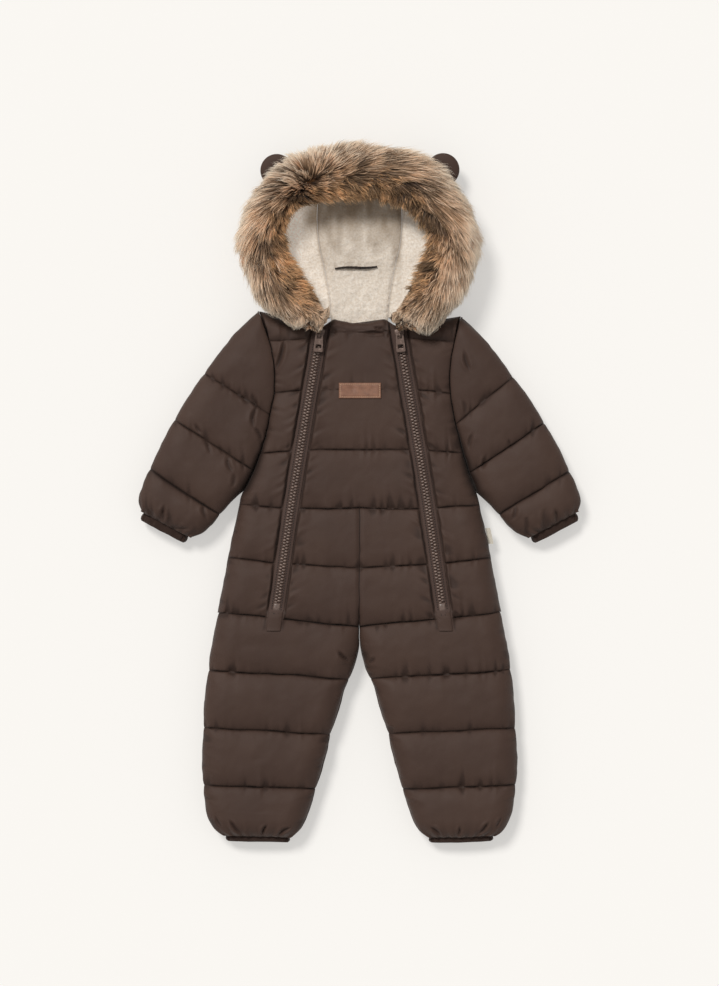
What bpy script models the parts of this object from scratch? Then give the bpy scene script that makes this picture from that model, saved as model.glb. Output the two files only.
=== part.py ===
"""A padded baby snowsuit with a fur-trimmed hood, lying on its back on a flat surface.

The frame: +Y runs from the ankles to the hood, +Z up from the surface, the origin on the surface under the
middle of the garment. Left is -X and right is +X, as seen from above. Tables and sizes are in millimetres.
Front pieces lie on back pieces in the plane z = MIDDLE, and pieces that meet keep GAP between them.
"""
import math

import bmesh
import bpy
import numpy as np
from mathutils import Vector
from mathutils.bvhtree import BVHTree

MM = 0.001
GAP = 0.3
LEFT, RIGHT = -1, 1
SIDES = {"left": LEFT, "right": RIGHT}

# Thickness of the layers
MIDDLE = 20.0          # top of the back layer
EDGE = 2.5             # thickness of one layer at a side seam
EDGE_RADIUS = 27.0     # how far in from a side seam a layer reaches its full height
SEAM_LEVEL = MIDDLE + EDGE
UNDER = MIDDLE + GAP   # plain underside of every front piece
BAND_LEVEL = 26.5      # height of a front layer where it is gathered into a band
NOTCH = 2.0            # how far a quilting line draws the side seam in
PUFF_ROWS = (0.0, 0.08, 0.3, 0.7, 0.92)   # sections in one quilted channel, as fractions of it

# Half width at the side seam, from the underarm to the ankle: height along the body, half width
SIDE_SEAM = (
    (1.0, 140.7), (-21.6, 145.8), (-50.4, 152.4), (-98.4, 161.4), (-136.8, 169.2), (-175.2, 175.8),
    (-213.6, 182.4), (-252.0, 186.0), (-290.4, 188.4), (-328.8, 189.0), (-367.2, 186.0), (-386.4, 182.4),
    (-396.0, 178.2), (-405.6, 171.6), (-413.0, 162.0),
)
# Armhole seam: height along the body, distance from the middle on the left and on the right, level of the seam
ARMHOLE = (
    (220.0, 121.2, 123.6, 32.0), (206.0, 116.3, 120.0, 33.0), (179.0, 107.4, 113.4, 34.0),
    (139.0, 101.2, 108.1, 33.5), (97.0, 106.0, 112.4, 31.5), (59.0, 116.0, 121.6, 28.5),
    (25.0, 128.0, 131.4, 25.0), (1.0, 140.0, 141.0, SEAM_LEVEL),
)
UNDERARM = 1.0
# Inside leg: height along the body, distance from the middle
INSEAM = (
    (-160.0, 0.15), (-185.0, 1.2), (-200.0, 4.8), (-214.0, 9.0), (-223.0, 12.6), (-233.0, 18.0),
    (-252.0, 22.8), (-290.0, 34.8), (-329.0, 45.0), (-367.0, 55.8), (-386.0, 63.0), (-396.0, 67.2),
    (-405.6, 73.2), (-413.0, 81.6),
)
# Top edge of the back: height at the middle of the neck, and at the shoulder, 121 mm out, on the left and right
BACK_NECK, SHOULDER_REACH, BACK_SHOULDER = 191.7, 121.0, (218.0, 212.0)
# Top edge of the front side panels: distance from the middle, height on the left and on the right
TOP_EDGE = (
    (0.0, 191.7, 191.7), (34.0, 194.5, 194.5), (52.0, 197.0, 197.0), (76.0, 202.5, 201.5),
    (100.0, 210.5, 206.5), (121.0, 218.0, 212.0),
)
# Neck edge of the front centre panel: distance from the middle, height
NECK_EDGE = ((0.0, 203.8), (14.0, 204.4), (24.0, 206.5), (31.0, 207.6), (36.0, 204.5), (48.0, 197.0))
NECK_RADIUS = 9.0
NECK_LEVEL = 31.0
# Zips: height along the body, distance of the chain from the middle
ZIP_LINE = ((210.0, 44.7), (165.5, 51.7), (78.0, 66.5), (-11.0, 80.9), (-102.0, 94.1), (-166.0, 103.2))
# Full height of the front at the middle of a channel: height along the body, level
CREST = ((220.0, 38.0), (120.0, 41.0), (0.0, 43.5), (-100.0, 44.5), (-200.0, 43.5), (-300.0, 42.0), (-413.0, 40.0))
# Quilting lines of the body: height at the side seam, at the zip, at the middle or the inside leg,
# depth of the line in the side pieces, depth in the middle pieces
BODY_LINES = {
    "yoke": (181.0, 186.0, 192.0, 3.5, 1.2),
    "chest": (120.0, 124.0, 123.6, 5.0, 1.4),
    "midriff": (48.0, 51.5, 51.6, 6.5, 5.5),
    "waist": (-14.2, -18.6, -18.6, 7.0, 6.5),
    "hip": (-77.8, -84.5, -89.4, 7.5, 6.5),
    "seat": (-143.0, -150.0, -160.2, 8.0, 8.0),
    "thigh": (-212.4, None, -222.8, 8.5, 8.5),
    "knee": (-281.4, None, -288.6, 8.5, 8.5),
    "shin": (-350.2, None, -354.4, 8.5, 8.5),
    "ankle": (-411.6, None, -412.8, 0.0, 0.0),
}
CENTRE_SEAM_DEPTH = 1.6
CENTRE_SEAM_WIDTH = 5.0

# Sleeves. Outer edge: height along the body, distance from the middle on the left and on the right
SLEEVE_OUTER = (
    (220.5, 120.0, 113.5), (195.6, 145.8, 139.8), (160.8, 174.6, 168.6), (122.4, 201.0, 197.4),
    (84.0, 225.0, 222.6), (45.6, 244.2, 243.0), (7.2, 261.0, 261.0), (-12.0, 265.8, 265.4),
    (-22.0, 263.4, 263.0),
)
# Underside of the sleeve, from the underarm to the cuff: height along the body, distance from the middle
SLEEVE_INNER = (
    (1.0, 141.0), (-12.0, 154.2), (-21.6, 162.6), (-31.2, 171.0), (-40.8, 179.4), (-50.4, 192.0), (-54.5, 203.4),
)
# Quilting lines: height at the outer edge on the left and right, at the inner edge on the left and right, depth
SLEEVE_LINES = (
    (218.5, 211.0, 209.0, 203.0, 0.0),
    (142.8, 139.2, 93.6, 82.8, 7.0),
    (87.6, 83.4, 27.0, 24.0, 7.5),
    (27.6, 26.4, -26.0, -26.0, 7.5),
    (-21.6, -21.6, -54.0, -54.0, 0.0),
)
SLEEVE_CREST = (38.0, 40.0, 40.0, 39.0, 37.0)     # full height in each channel, shoulder to cuff
ARMHOLE_GAP = 0.35                                # half of the gap along the curved armhole seam

# Bands: length, depth along the limb, height, half height of the opening slit, count of gathers
CUFF = {"length": 61.0, "depth": 9.5, "height": 22.0, "slit": 1.6, "gathers": 14}
ANKLE = {"length": 76.0, "depth": 6.4, "height": 23.0, "slit": 1.6, "gathers": 16}
GATHER = 1.3                                      # height of the gathers beside a band

# Zips
RECESS = 6.0            # depth of the zip below the panels beside it
RECESS_FLOOR = 9.8      # half width of the recess floor
RECESS_TOP = 12.4       # half width at the top of its walls
ZIP_TOP, CHAIN_END, STOP_END, TAPE_END = 196.5, -132.0, -143.0, -164.5
TAPE = {"half": 9.0, "thick": 1.2}
CHAIN = {"half": 4.2, "thick": 3.4}
STOP = {"half": 4.8, "thick": 4.4}
END_PATCH = {"half": 8.4, "thick": 1.8}
SLIDER_AT = 189.0       # height along the body of the pull tab's axis
SLIDER = {"length": 13.0, "nose": 11.5, "tail": 8.6, "thick": 2.4}
ARCH = {"inner": 1.8, "outer": 3.1, "width": 2.2}
TAB = {"length": 20.5, "top": 4.1, "end": 5.0, "thick": 1.6, "bar": 0.95}
TAB_EYE = {"half": 2.7, "start": 0.95, "end": 4.8}
TAB_WINDOW = {"half": 2.9, "start": 11.6, "end": 16.2}
AXIS_LIFT = 1.7         # pull tab's axis above the top of the slider
TAB_LEAN = 0.5          # share of the slider's lean that the loose pull tab takes

# Hood. Places round its opening are an angle from the crown and a distance from HOOD_MIDDLE
HOOD_MIDDLE = 297.6
HOOD_BED = 10.15        # level of the sheet between shell and lining where the hood lies flat
RIM_LEVEL = 48.0
SHELL = 10.0            # thickness of the outer shell
LINING = 6.0            # thickness of the pile lining
HOOD_FLAT_END = 322.0   # height along the body where the crown starts to rise
RIM_START = 152.0       # angle of the rim's ends, beside the zips
RIM_END = 31.0          # angle where the centre strip meets the rim
SIDE_PIECE_END = 0.94   # share of the way from neck to crown where the side pieces end
NECK_GAP = 0.6          # gap between the hood and the back's neck edge
# Rim: angle from the crown, distance
RIM = (
    (0.0, 87.0), (20.0, 89.4), (40.0, 98.6), (60.0, 107.3), (80.0, 114.0), (90.0, 115.5), (100.0, 112.3),
    (120.0, 109.4), (135.0, 105.9), (152.0, 101.0),
)
# Seam between the centre strip and a side: height along the body, distance from the middle
HOOD_SEAM = ((191.7, 34.0), (230.0, 36.0), (265.0, 42.0), (300.0, 49.0), (330.0, 51.0), (384.0, 47.5))
# Fur trim: angle from the crown, inner and outer distance on the left, inner and outer on the right,
# level of its lowest outer hairs, level of its top
FUR = (
    (0.0, 51.6, 122.4, 51.6, 122.4, 15.0, 72.0),
    (20.0, 54.6, 126.0, 53.4, 122.4, 17.0, 72.0),
    (33.0, 60.0, 133.0, 56.5, 130.0, 36.5, 73.0),
    (40.0, 64.8, 136.8, 58.8, 134.4, 37.5, 73.0),
    (50.0, 74.0, 137.5, 64.0, 135.0, 37.5, 74.0),
    (58.0, 82.0, 138.0, 70.0, 135.6, 36.5, 74.0),
    (70.0, 88.0, 143.0, 75.0, 139.5, 17.0, 75.0),
    (80.0, 89.8, 147.6, 78.0, 142.8, 14.0, 75.0),
    (95.0, 85.8, 148.2, 79.2, 145.8, 14.0, 74.0),
    (110.0, 79.6, 141.6, 75.2, 141.0, 22.0, 72.0),
    (125.0, 76.6, 140.4, 75.6, 142.2, 36.0, 70.0),
    (140.0, 78.0, 129.6, 82.2, 135.6, 43.0, 67.0),
    (151.0, 88.0, 117.0, 88.0, 118.0, 46.5, 62.0),
    (155.5, 94.0, 110.0, 94.0, 110.0, 47.5, 57.0),
)
FUR_STEP = 6.0          # angle between sections of the fur
FUR_LOCK = 1.8          # how far every other section stands out, as locks of hair do
EAR = {"radius": 19.8, "thick": 9.0, "low": 25.0, "root": 14.0, "gap": 9.5}
EAR_PLACES = {"left": (-99.0, 386.4), "right": (100.0, 387.4)}

# Small pieces
CHEST_PATCH = {"width": 50.4, "height": 18.6, "thick": 1.6, "middle": (0.5, 123.3)}
LOOP = {"start": (-29.4, 269.4), "end": (21.0, 271.8), "radius": 1.5, "rise": 1.6}
SIDE_LABEL = {"reach": 6.0, "y": (-42.0, -51.5, -61.0), "thick": 1.0}

COLOURS = {
    "shell_fabric": ((0.072, 0.047, 0.037), 0.62, 0.0),
    "band_fabric": ((0.050, 0.032, 0.025), 0.70, 0.0),
    "pile_lining": ((0.66, 0.59, 0.50), 0.95, 0.0),
    "fur": ((0.34, 0.21, 0.12), 0.90, 0.0),
    "zip": ((0.058, 0.042, 0.036), 0.55, 0.0),
    "zip_hardware": ((0.105, 0.080, 0.070), 0.35, 0.6),
    "leather": ((0.37, 0.16, 0.09), 0.60, 0.0),
    "label": ((0.70, 0.66, 0.58), 0.80, 0.0),
    "loop": ((0.030, 0.020, 0.014), 0.75, 0.0),
}


def smooth(table, column, at):
    """A smooth curve through one column of a table, read at values of its first column."""
    rows = np.array(sorted(table), dtype=float)
    places, values = rows[:, 0], rows[:, column]
    slopes = np.gradient(values, places)
    at = np.clip(at, places[0], places[-1])
    i = np.clip(np.searchsorted(places, at) - 1, 0, len(places) - 2)
    step = places[i + 1] - places[i]
    f = (at - places[i]) / step
    start = (2 * f**3 - 3 * f**2 + 1) * values[i] + (f**3 - 2 * f**2 + f) * step * slopes[i]
    end = (3 * f**2 - 2 * f**3) * values[i + 1] + (f**3 - f**2) * step * slopes[i + 1]
    return start + end


def ramp(value, low, high):
    """0 below low and 1 above high, smooth between them; high may be the smaller one."""
    f = np.clip((value - low) / (high - low), 0.0, 1.0)
    return f * f * (3 - 2 * f)


def round_off(distance, radius):
    """The height of a round edge, 0 to 1, at a distance in from it."""
    f = np.clip(distance / radius, 0.0, 1.0)
    return np.sqrt(1 - (1 - f) ** 2)


def puff(phase):
    """How far a quilted channel swells, from 0 on its lines to 1 between them."""
    return (1 - np.abs(2 * (phase % 1.0) - 1) ** 2.6) ** 0.6


def column_of(side):
    return 1 if side == LEFT else 2


def material(name):
    colour, roughness, metallic = COLOURS[name]
    made = bpy.data.materials.get(name) or bpy.data.materials.new(name)
    made.use_nodes = True
    shader = made.node_tree.nodes["Principled BSDF"]
    shader.inputs["Base Color"].default_value = (*colour, 1.0)
    shader.inputs["Roughness"].default_value = roughness
    shader.inputs["Metallic"].default_value = metallic
    return made


def add_object(name, mesh, finish, collection):
    made = bpy.data.objects.new(name, mesh)
    mesh.materials.clear()
    mesh.materials.append(material(finish))
    collection.objects.link(made)
    return made


def ring_faces(sections, count, closed):
    """Quads between rings of points, with a cap at each end unless the rings close on themselves."""
    faces = []
    for row in range(sections if closed else sections - 1):
        after = (row + 1) % sections
        for i in range(count):
            j = (i + 1) % count
            faces.append((row * count + i, row * count + j, after * count + j, after * count + i))
    if not closed:
        faces.append(tuple(range(count)))
        faces.append(tuple((sections - 1) * count + i for i in range(count)))
    return faces


def loft(name, rings, finish, collection, closed=False, smooth_angle=35.0):
    """A closed solid through rings of points in millimetres, all with the same count of points."""
    rings = np.asarray(rings, dtype=float)
    sections, count = rings.shape[:2]
    mesh = bpy.data.meshes.new(name)
    points = rings.reshape(-1, 3) * MM
    mesh.from_pydata(points.tolist(), [], ring_faces(sections, count, closed))
    work = bmesh.new()
    work.from_mesh(mesh)
    bmesh.ops.recalc_face_normals(work, faces=work.faces)
    work.to_mesh(mesh)
    work.free()
    mesh.shade_smooth()
    mesh.set_sharp_from_angle(angle=math.radians(smooth_angle))
    return add_object(name, mesh, finish, collection)


# The form of the body -------------------------------------------------------------------------------------


def side_edge(y, side):
    """Distance from the middle to the armhole seam or, below the underarm, to the side seam."""
    armhole = smooth(ARMHOLE, column_of(side), y) - ARMHOLE_GAP
    return np.where(y >= UNDERARM, armhole, smooth(SIDE_SEAM, 1, y))


def back_edge(x, side):
    """Height of the back's straight top edge at a distance from the middle."""
    return BACK_NECK + (BACK_SHOULDER[column_of(side) - 1] - BACK_NECK) * x / SHOULDER_REACH


def side_level(y):
    return np.where(y >= UNDERARM, smooth(ARMHOLE, 3, y), SEAM_LEVEL)


def zip_edge(y):
    return smooth(ZIP_LINE, 1, y)


def inner_leg(y):
    return smooth(INSEAM, 1, y)


def plain_height(x, y, side):
    """Level of the front, without quilting or zips, at a distance x from the middle."""
    crest = smooth(CREST, 1, y)
    level = side_level(y) + (crest - side_level(y)) * round_off(side_edge(y, side) - x, EDGE_RADIUS)
    to_top = round_off(smooth(TOP_EDGE, column_of(side), x) - y, EDGE_RADIUS)
    shoulder = ramp(x, 58.0, 85.0)
    level = SEAM_LEVEL + (level - SEAM_LEVEL) * (1 - shoulder * (1 - to_top))
    crotch = ramp(y, -125.0, -200.0)
    level = SEAM_LEVEL + (level - SEAM_LEVEL) * (1 - crotch * (1 - round_off(x - inner_leg(y), EDGE_RADIUS)))
    to_band = round_off(y + 413.0, 22.0)
    return np.minimum(level, BAND_LEVEL + (level - BAND_LEVEL) * to_band)


def zip_floor(y, side):
    """Level of the recess that holds the zip, with its shallow end under the reinforcing patch."""
    depth = RECESS - (RECESS - 1.5) * ramp(y, -132.0, -150.0)
    return plain_height(zip_edge(y), y, side) - depth


def front_height(x, y, side, swell, depth):
    """Level of the front at a distance x from the middle, in a channel swollen to swell, 0 to 1."""
    level = plain_height(x, y, side)
    share = (level - SEAM_LEVEL) / (smooth(CREST, 1, y) - SEAM_LEVEL)
    level = level - depth * (1 - swell) * np.clip(share, 0.0, 1.0)
    seam = ramp(y, -10.0, -22.0) * ramp(y, -175.0, -150.0)
    level = level - CENTRE_SEAM_DEPTH * seam * (1 - ramp(x, 0.0, CENTRE_SEAM_WIDTH))
    beside = 1 - ramp(np.abs(x - zip_edge(y)), RECESS_FLOOR, RECESS_TOP)
    beside = beside * ramp(y, -167.0, -160.0)
    return level + (zip_floor(y, side) - level) * beside


def rows_between(lines, phases=PUFF_ROWS):
    """Places of the sections, counted in channels from the first line to the last."""
    places = [n + phase for n in range(len(lines) - 1) for phase in phases]
    return places + [len(lines) - 1]


def line_values(lines, place):
    """Heights along the two edges, depth of the nearest line, and swell, at a place between the lines."""
    n = min(int(place), len(lines) - 2)
    f = place - n
    heights = [a + (b - a) * f for a, b in zip(lines[n][:-1], lines[n + 1][:-1])]
    depth = lines[n][-1] if f < 0.5 else lines[n + 1][-1]
    return heights, depth, float(puff(f)) if 0 < f < 1 else 0.0


def front_piece(name, side, lines, near, far, columns, collection, draw_in=(0.0, 0.0), edge=None):
    """A padded front piece: quilted on top, plain underneath, one section for each row between its lines.

    near and far give the distance of its two edges from the middle, and columns the places of its points
    between them, in millimetres from the near edge. draw_in is how far a line draws each edge in.
    """
    rings = []
    places = rows_between(lines)
    for place in places:
        (near_y, far_y), depth, swell = line_values(lines, place)
        trim = GAP / 2 if place == places[0] else -GAP / 2 if place == places[-1] else 0.0
        near_y, far_y = near_y - trim, far_y - trim
        start = float(near(near_y)) + draw_in[0] * (1 - swell)
        end = float(far(far_y)) - draw_in[1] * (1 - swell)
        fractions = columns(end - start) / (end - start)
        x = start + (end - start) * fractions
        y = near_y + (far_y - near_y) * fractions
        if edge is not None and place < 1:
            y = y + (edge(x) - near_y - (far_y - near_y) * fractions) * (1 - place)
        z = front_height(x, y, side, swell, depth)
        if lines[-1][-1] == 0.0 and place > len(lines) - 1.1:
            z = z + GATHER * np.where(np.arange(len(z)) % 2, 1.0, -1.0) * (1 - swell)
        top = np.stack([side * x, y, z], axis=1)
        below = [(side * x[-1], y[-1], UNDER), (side * x[0], y[0], UNDER)]
        rings.append(np.vstack([top, below]))
    return loft(name, rings, "shell_fabric", collection)


def side_columns(width):
    """Points of a side panel: down into the zip's recess, then out to the armhole or the side seam."""
    rest = width - 17.0
    return np.array([0.0, RECESS_FLOOR, RECESS_TOP, 17.0] + [17.0 + rest * f for f in (0.35, 0.65, 0.86, 0.97, 1.0)])


def lower_columns(width):
    """Points of a lower panel: from the centre seam to the zip's recess."""
    rest = width - 17.0
    return np.array([0.0, 4.0, rest * 0.38, rest * 0.72, rest, width - RECESS_TOP, width - RECESS_FLOOR, width])


def leg_columns(width):
    return width * np.array([0.0, 0.025, 0.09, 0.2, 0.35, 0.5, 0.65, 0.8, 0.91, 0.975, 1.0])


def centre_piece(collection):
    """The panel between the zips, from its free neck edge to the waist seam."""
    names = ("yoke", "chest", "midriff", "waist")
    lines = [(204.0, 0.0)] + [(BODY_LINES[n][2], BODY_LINES[n][4]) for n in names]
    rings = []
    places = [0.0, 0.3, 0.65] + [p for p in rows_between(lines) if p >= 1]
    for place in places:
        (y,), depth, swell = line_values(lines, place)
        y = y + GAP / 2 if place == places[-1] else y
        swell = 1.0 if place < 0.9 else swell
        reach = float(zip_edge(y)) - GAP / 2
        inside = (reach - 17.0) * np.array([1.0, 0.66, 0.33])
        half = np.concatenate([[reach, reach - RECESS_FLOOR, reach - RECESS_TOP], inside])
        x = np.concatenate([-half, [0.0], half[::-1]])
        rows = np.full(len(x), y)
        if place < 1:
            rows = y + (smooth(NECK_EDGE, 1, np.abs(x)) - lines[0][0]) * (1 - place)
        left = front_height(np.abs(x), rows, LEFT, swell, depth)
        right = front_height(np.abs(x), rows, RIGHT, swell, depth)
        z = np.where(x < 0, left, right)
        neck = round_off(smooth(NECK_EDGE, 1, np.abs(x)) - rows, NECK_RADIUS)
        z = np.minimum(z, NECK_LEVEL + (z - NECK_LEVEL) * neck)
        top = np.stack([x, rows, z], axis=1)
        below = [(x[-1], rows[-1], UNDER), (x[0], rows[0], UNDER)]
        rings.append(np.vstack([top, below]))
    return loft("front_centre", rings, "shell_fabric", collection)


def under_profile(start, end, free_start, free_end, lift):
    """Section of a back piece: flat on top, flat where it rests, round at its free edges.

    Returns distances along the section and levels. free_start and free_end are 1 at a free edge and 0 at a
    seam; lift raises the resting side next to a band.
    """
    curve = ((0.0, MIDDLE - EDGE), (2.0, 10.0), (8.0, 3.2), (18.0, 0.0))
    out = [(start, MIDDLE), (end, MIDDLE)]
    out += [(end - d * free_end, z if free_end else z * 0.999) for d, z in curve]
    out += [(start + d * free_start, z) for d, z in reversed(curve)]
    return [(d, max(z, lift) if z < MIDDLE - EDGE else z) for d, z in out]


def back_piece(name, side, collection):
    """Half of the back with its leg, from the neck and shoulder to the ankle."""
    shoulder = back_edge(SHOULDER_REACH, side)
    lines = [(BACK_NECK, shoulder, 0.0)] + [(row[2], row[0], row[3]) for row in BODY_LINES.values()]
    rings = []
    places = rows_between(lines, (0.0, 0.25, 0.75))
    for place in places:
        (near_y, far_y), _, swell = line_values(lines, place)
        start = float(inner_leg(near_y)) if near_y < INSEAM[0][0] else GAP / 2
        free = float(ramp(near_y, -165.0, -215.0))
        draw = NOTCH * (1 - swell)
        start = start + draw * free
        end = float(side_edge(np.array(far_y), side)) - (draw if far_y < 0 else 0.0)
        lift = 5.0 * (1 - float(round_off(near_y + 413.0, 14.0)))
        ring = []
        for x, z in under_profile(start, end, free, 1.0, lift):
            f = (x - start) / (end - start)
            ring.append((side * x, near_y + (far_y - near_y) * f, z))
        rings.append(ring)
    loft(name, rings, "shell_fabric", collection)


# Sleeves --------------------------------------------------------------------------------------------------


def sleeve_inner(y, side):
    armhole = smooth(ARMHOLE, column_of(side), y) + ARMHOLE_GAP
    return np.where(y >= UNDERARM, armhole, smooth(SLEEVE_INNER, 1, y))


def sleeve_rows(side, phases):
    """Ends of each section of a sleeve, with its place, depth and swell."""
    own = 0 if side == LEFT else 1
    lines = [(row[2 + own], row[own], row[4]) for row in SLEEVE_LINES]
    for place in rows_between(lines, phases):
        (inner_y, outer_y), depth, swell = line_values(lines, place)
        free = float(ramp(inner_y, UNDERARM, -14.0))
        draw = NOTCH * (1 - swell) * (1 if 0 < place < len(lines) - 1 else 0)
        inner = np.array([float(sleeve_inner(np.array(inner_y), side)) + draw * free, inner_y])
        outer = np.array([float(smooth(SLEEVE_OUTER, column_of(side), outer_y)) - draw, outer_y])
        yield place, inner, outer, depth, swell, free


def sleeve_pieces(label, side, collection):
    """The upper sleeve, quilted, and the under sleeve that it lies on."""
    last = len(SLEEVE_LINES) - 1
    fractions = np.array([0.0, 0.035, 0.11, 0.23, 0.37, 0.5, 0.63, 0.77, 0.89, 0.965, 1.0])
    rings = []
    for place, inner, outer, depth, swell, free in sleeve_rows(side, PUFF_ROWS):
        width = float(np.linalg.norm(outer - inner))
        xy = inner + (outer - inner) * fractions[:, None]
        crest = float(np.interp(place, range(last + 1), SLEEVE_CREST))
        full = crest - SEAM_LEVEL
        held = (float(side_level(np.array(inner[1]))) - SEAM_LEVEL) / full
        from_inner = held + (1 - held) * round_off(width * fractions, EDGE_RADIUS)
        rise = full * from_inner * round_off(width * (1 - fractions), EDGE_RADIUS)
        z = SEAM_LEVEL + rise - depth * (1 - swell) * rise / full
        to_band = float(round_off((last - place) * 40.0, 20.0))
        z = np.minimum(z, BAND_LEVEL + (z - BAND_LEVEL) * to_band)
        if place > last - 0.1:
            z = z + GATHER * np.where(np.arange(len(z)) % 2, 1.0, -1.0) * (1 - swell)
        top = np.stack([side * xy[:, 0], xy[:, 1], z], axis=1)
        below = [(side * outer[0], outer[1], UNDER), (side * inner[0], inner[1], UNDER)]
        rings.append(np.vstack([top, below]))
    loft(f"sleeve_upper_{label}", rings, "shell_fabric", collection)
    rings = []
    for place, inner, outer, depth, swell, free in sleeve_rows(side, (0.0, 0.25, 0.75)):
        width = float(np.linalg.norm(outer - inner))
        size = min(1.0, width / 45.0)
        lift = 5.0 * (1 - float(round_off((last - place) * 40.0, 14.0)))
        ring = []
        for d, z in under_profile(0.0, width, free * size, size, lift):
            x, y = inner + (outer - inner) * (d / width)
            ring.append((side * x, y, z))
        rings.append(ring)
    loft(f"sleeve_under_{label}", rings, "shell_fabric", collection)


def band(name, start, end, away, size, collection):
    """An elastic band gathered on the end of a limb: a flattened ring with its slit open outwards."""
    start, end, away = (np.asarray(v, dtype=float) for v in (start, end, away))
    along = (end - start) / np.linalg.norm(end - start)
    middle = (start + end) / 2
    half, tall = size["length"] / 2, size["height"] / 2
    level = tall + 3.0
    count = size["gathers"] * 2
    rings = []
    for n in range(count):
        angle = 2 * math.pi * n / count
        c, s = math.cos(angle), math.sin(angle)
        c, s = math.copysign(abs(c) ** 0.7, c), math.copysign(abs(s) ** 0.7, s)
        wave = 0.6 if n % 2 else -0.6
        ring = []
        for a, b, depth in (
            (half, tall, GAP), (half + wave, tall + wave, size["depth"] * 0.5), (half - 2.0, tall - 2.0, size["depth"]),
            (half - 6.0, size["slit"], size["depth"]), (half - 6.0, size["slit"], GAP),
        ):
            xy = middle + along * a * c + away * depth
            ring.append((xy[0], xy[1], level + b * s))
        rings.append(ring)
    loft(name, rings, "band_fabric", collection, closed=True)


def bands(label, side, collection):
    own = column_of(side)
    outer_y, inner_y = SLEEVE_LINES[-1][own - 1], SLEEVE_LINES[-1][own + 1]
    outer = np.array([side * float(smooth(SLEEVE_OUTER, own, outer_y)), outer_y])
    inner = np.array([side * float(sleeve_inner(np.array(inner_y), side)), inner_y])
    along = (inner - outer) / np.linalg.norm(inner - outer)
    away = np.array([along[1], -along[0]]) * (1 if side == LEFT else -1)
    band(f"cuff_band_{label}", outer, inner, away, CUFF, collection)
    ankle = BODY_LINES["ankle"]
    outer = np.array([side * 161.0, ankle[0] - GAP])
    inner = np.array([side * 83.0, ankle[2] - GAP])
    band(f"ankle_band_{label}", outer, inner, np.array([0.0, -1.0]), ANKLE, collection)


# Hood -----------------------------------------------------------------------------------------------------


def rim_point(angle):
    """A point of the hood's rim at an angle from the crown, on the +X side."""
    reach = smooth(RIM, 1, angle)
    turn = np.radians(angle)
    return np.stack([reach * np.sin(turn), HOOD_MIDDLE + reach * np.cos(turn), np.full_like(reach, RIM_LEVEL)], -1)


def rim_height_at(x):
    """Height along the body of the rim's crown part, at a distance from the middle."""
    angles = np.linspace(0.0, 60.0, 61)
    points = rim_point(angles)
    return np.interp(x, points[:, 0], points[:, 1])


def strip_point(across, v):
    """The hood's middle sheet in the centre strip: across is 0 at the middle and 1 at the seam."""
    flat = 0.62
    on_flat = np.clip(v / flat, 0.0, 1.0)
    turn = np.clip((v - flat) / (1 - flat), 0.0, 1.0) * math.pi / 2
    y_line = BACK_NECK + (HOOD_FLAT_END - BACK_NECK) * on_flat + (384.0 - HOOD_FLAT_END) * np.sin(turn)
    x = across * smooth(HOOD_SEAM, 1, y_line)
    neck = back_edge(x, LEFT) + NECK_GAP
    y = neck + (HOOD_FLAT_END - neck) * on_flat + (rim_height_at(x) - HOOD_FLAT_END) * np.sin(turn)
    z = HOOD_BED + (RIM_LEVEL - HOOD_BED) * (1 - np.cos(turn))
    return np.stack([x, y, z], -1)


def hood_point(u, v):
    """The hood's middle sheet: u is 0 at the middle, 1 at the seam and 2 at the rim; v runs neck to crown."""
    u, v = np.broadcast_arrays(np.asarray(u, dtype=float), np.asarray(v, dtype=float))
    strip = strip_point(np.clip(u, 0.0, 1.0), v)
    seam = strip_point(np.ones_like(u), v)
    rim = rim_point(RIM_START + (RIM_END - RIM_START) * v)
    turn = np.clip(u - 1.0, 0.0, 1.0)[..., None] * math.pi / 2
    side = seam + (rim - seam) * np.sin(turn)
    side[..., 2] = seam[..., 2] + (rim[..., 2] - seam[..., 2]) * (1 - np.cos(turn[..., 0]))
    return np.where((u > 1.0)[..., None], side, strip)


def hood_layer(u, v, mirror, offset):
    """Points of the hood at an offset from its middle sheet, inwards when positive."""
    step = 0.004
    u_low, u_high = np.where(u > 1.0, np.maximum(u - step, 1.0001), u - step), u + step
    along_u = hood_point(u_high, v) - hood_point(u_low, v)
    along_v = hood_point(u, np.minimum(v + step, 1.0)) - hood_point(u, np.maximum(v - step, 0.0))
    normal = np.cross(along_u, along_v)
    normal /= np.linalg.norm(normal, axis=-1, keepdims=True)
    made = hood_point(u, v) + normal * offset
    made[..., 0] *= mirror
    return made


def hood_piece(name, u_values, v_values, near, far, finish, collection, mirror=1.0, both=False):
    """A piece of the hood between two offsets from the middle sheet, one section for each v."""
    rings = []
    for v in v_values:
        ring = []
        for offset, order in ((near, 1), (far, -1)):
            right = hood_layer(u_values, np.full_like(u_values, v), 1.0, offset)
            if both:
                left = right[::-1].copy()
                left[:, 0] *= -1
                line = np.vstack([left[:-1], right])
            else:
                line = right
                line[:, 0] *= mirror
            ring.append(line[::order])
        rings.append(np.vstack(ring))
    loft(name, rings, finish, collection)


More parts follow.
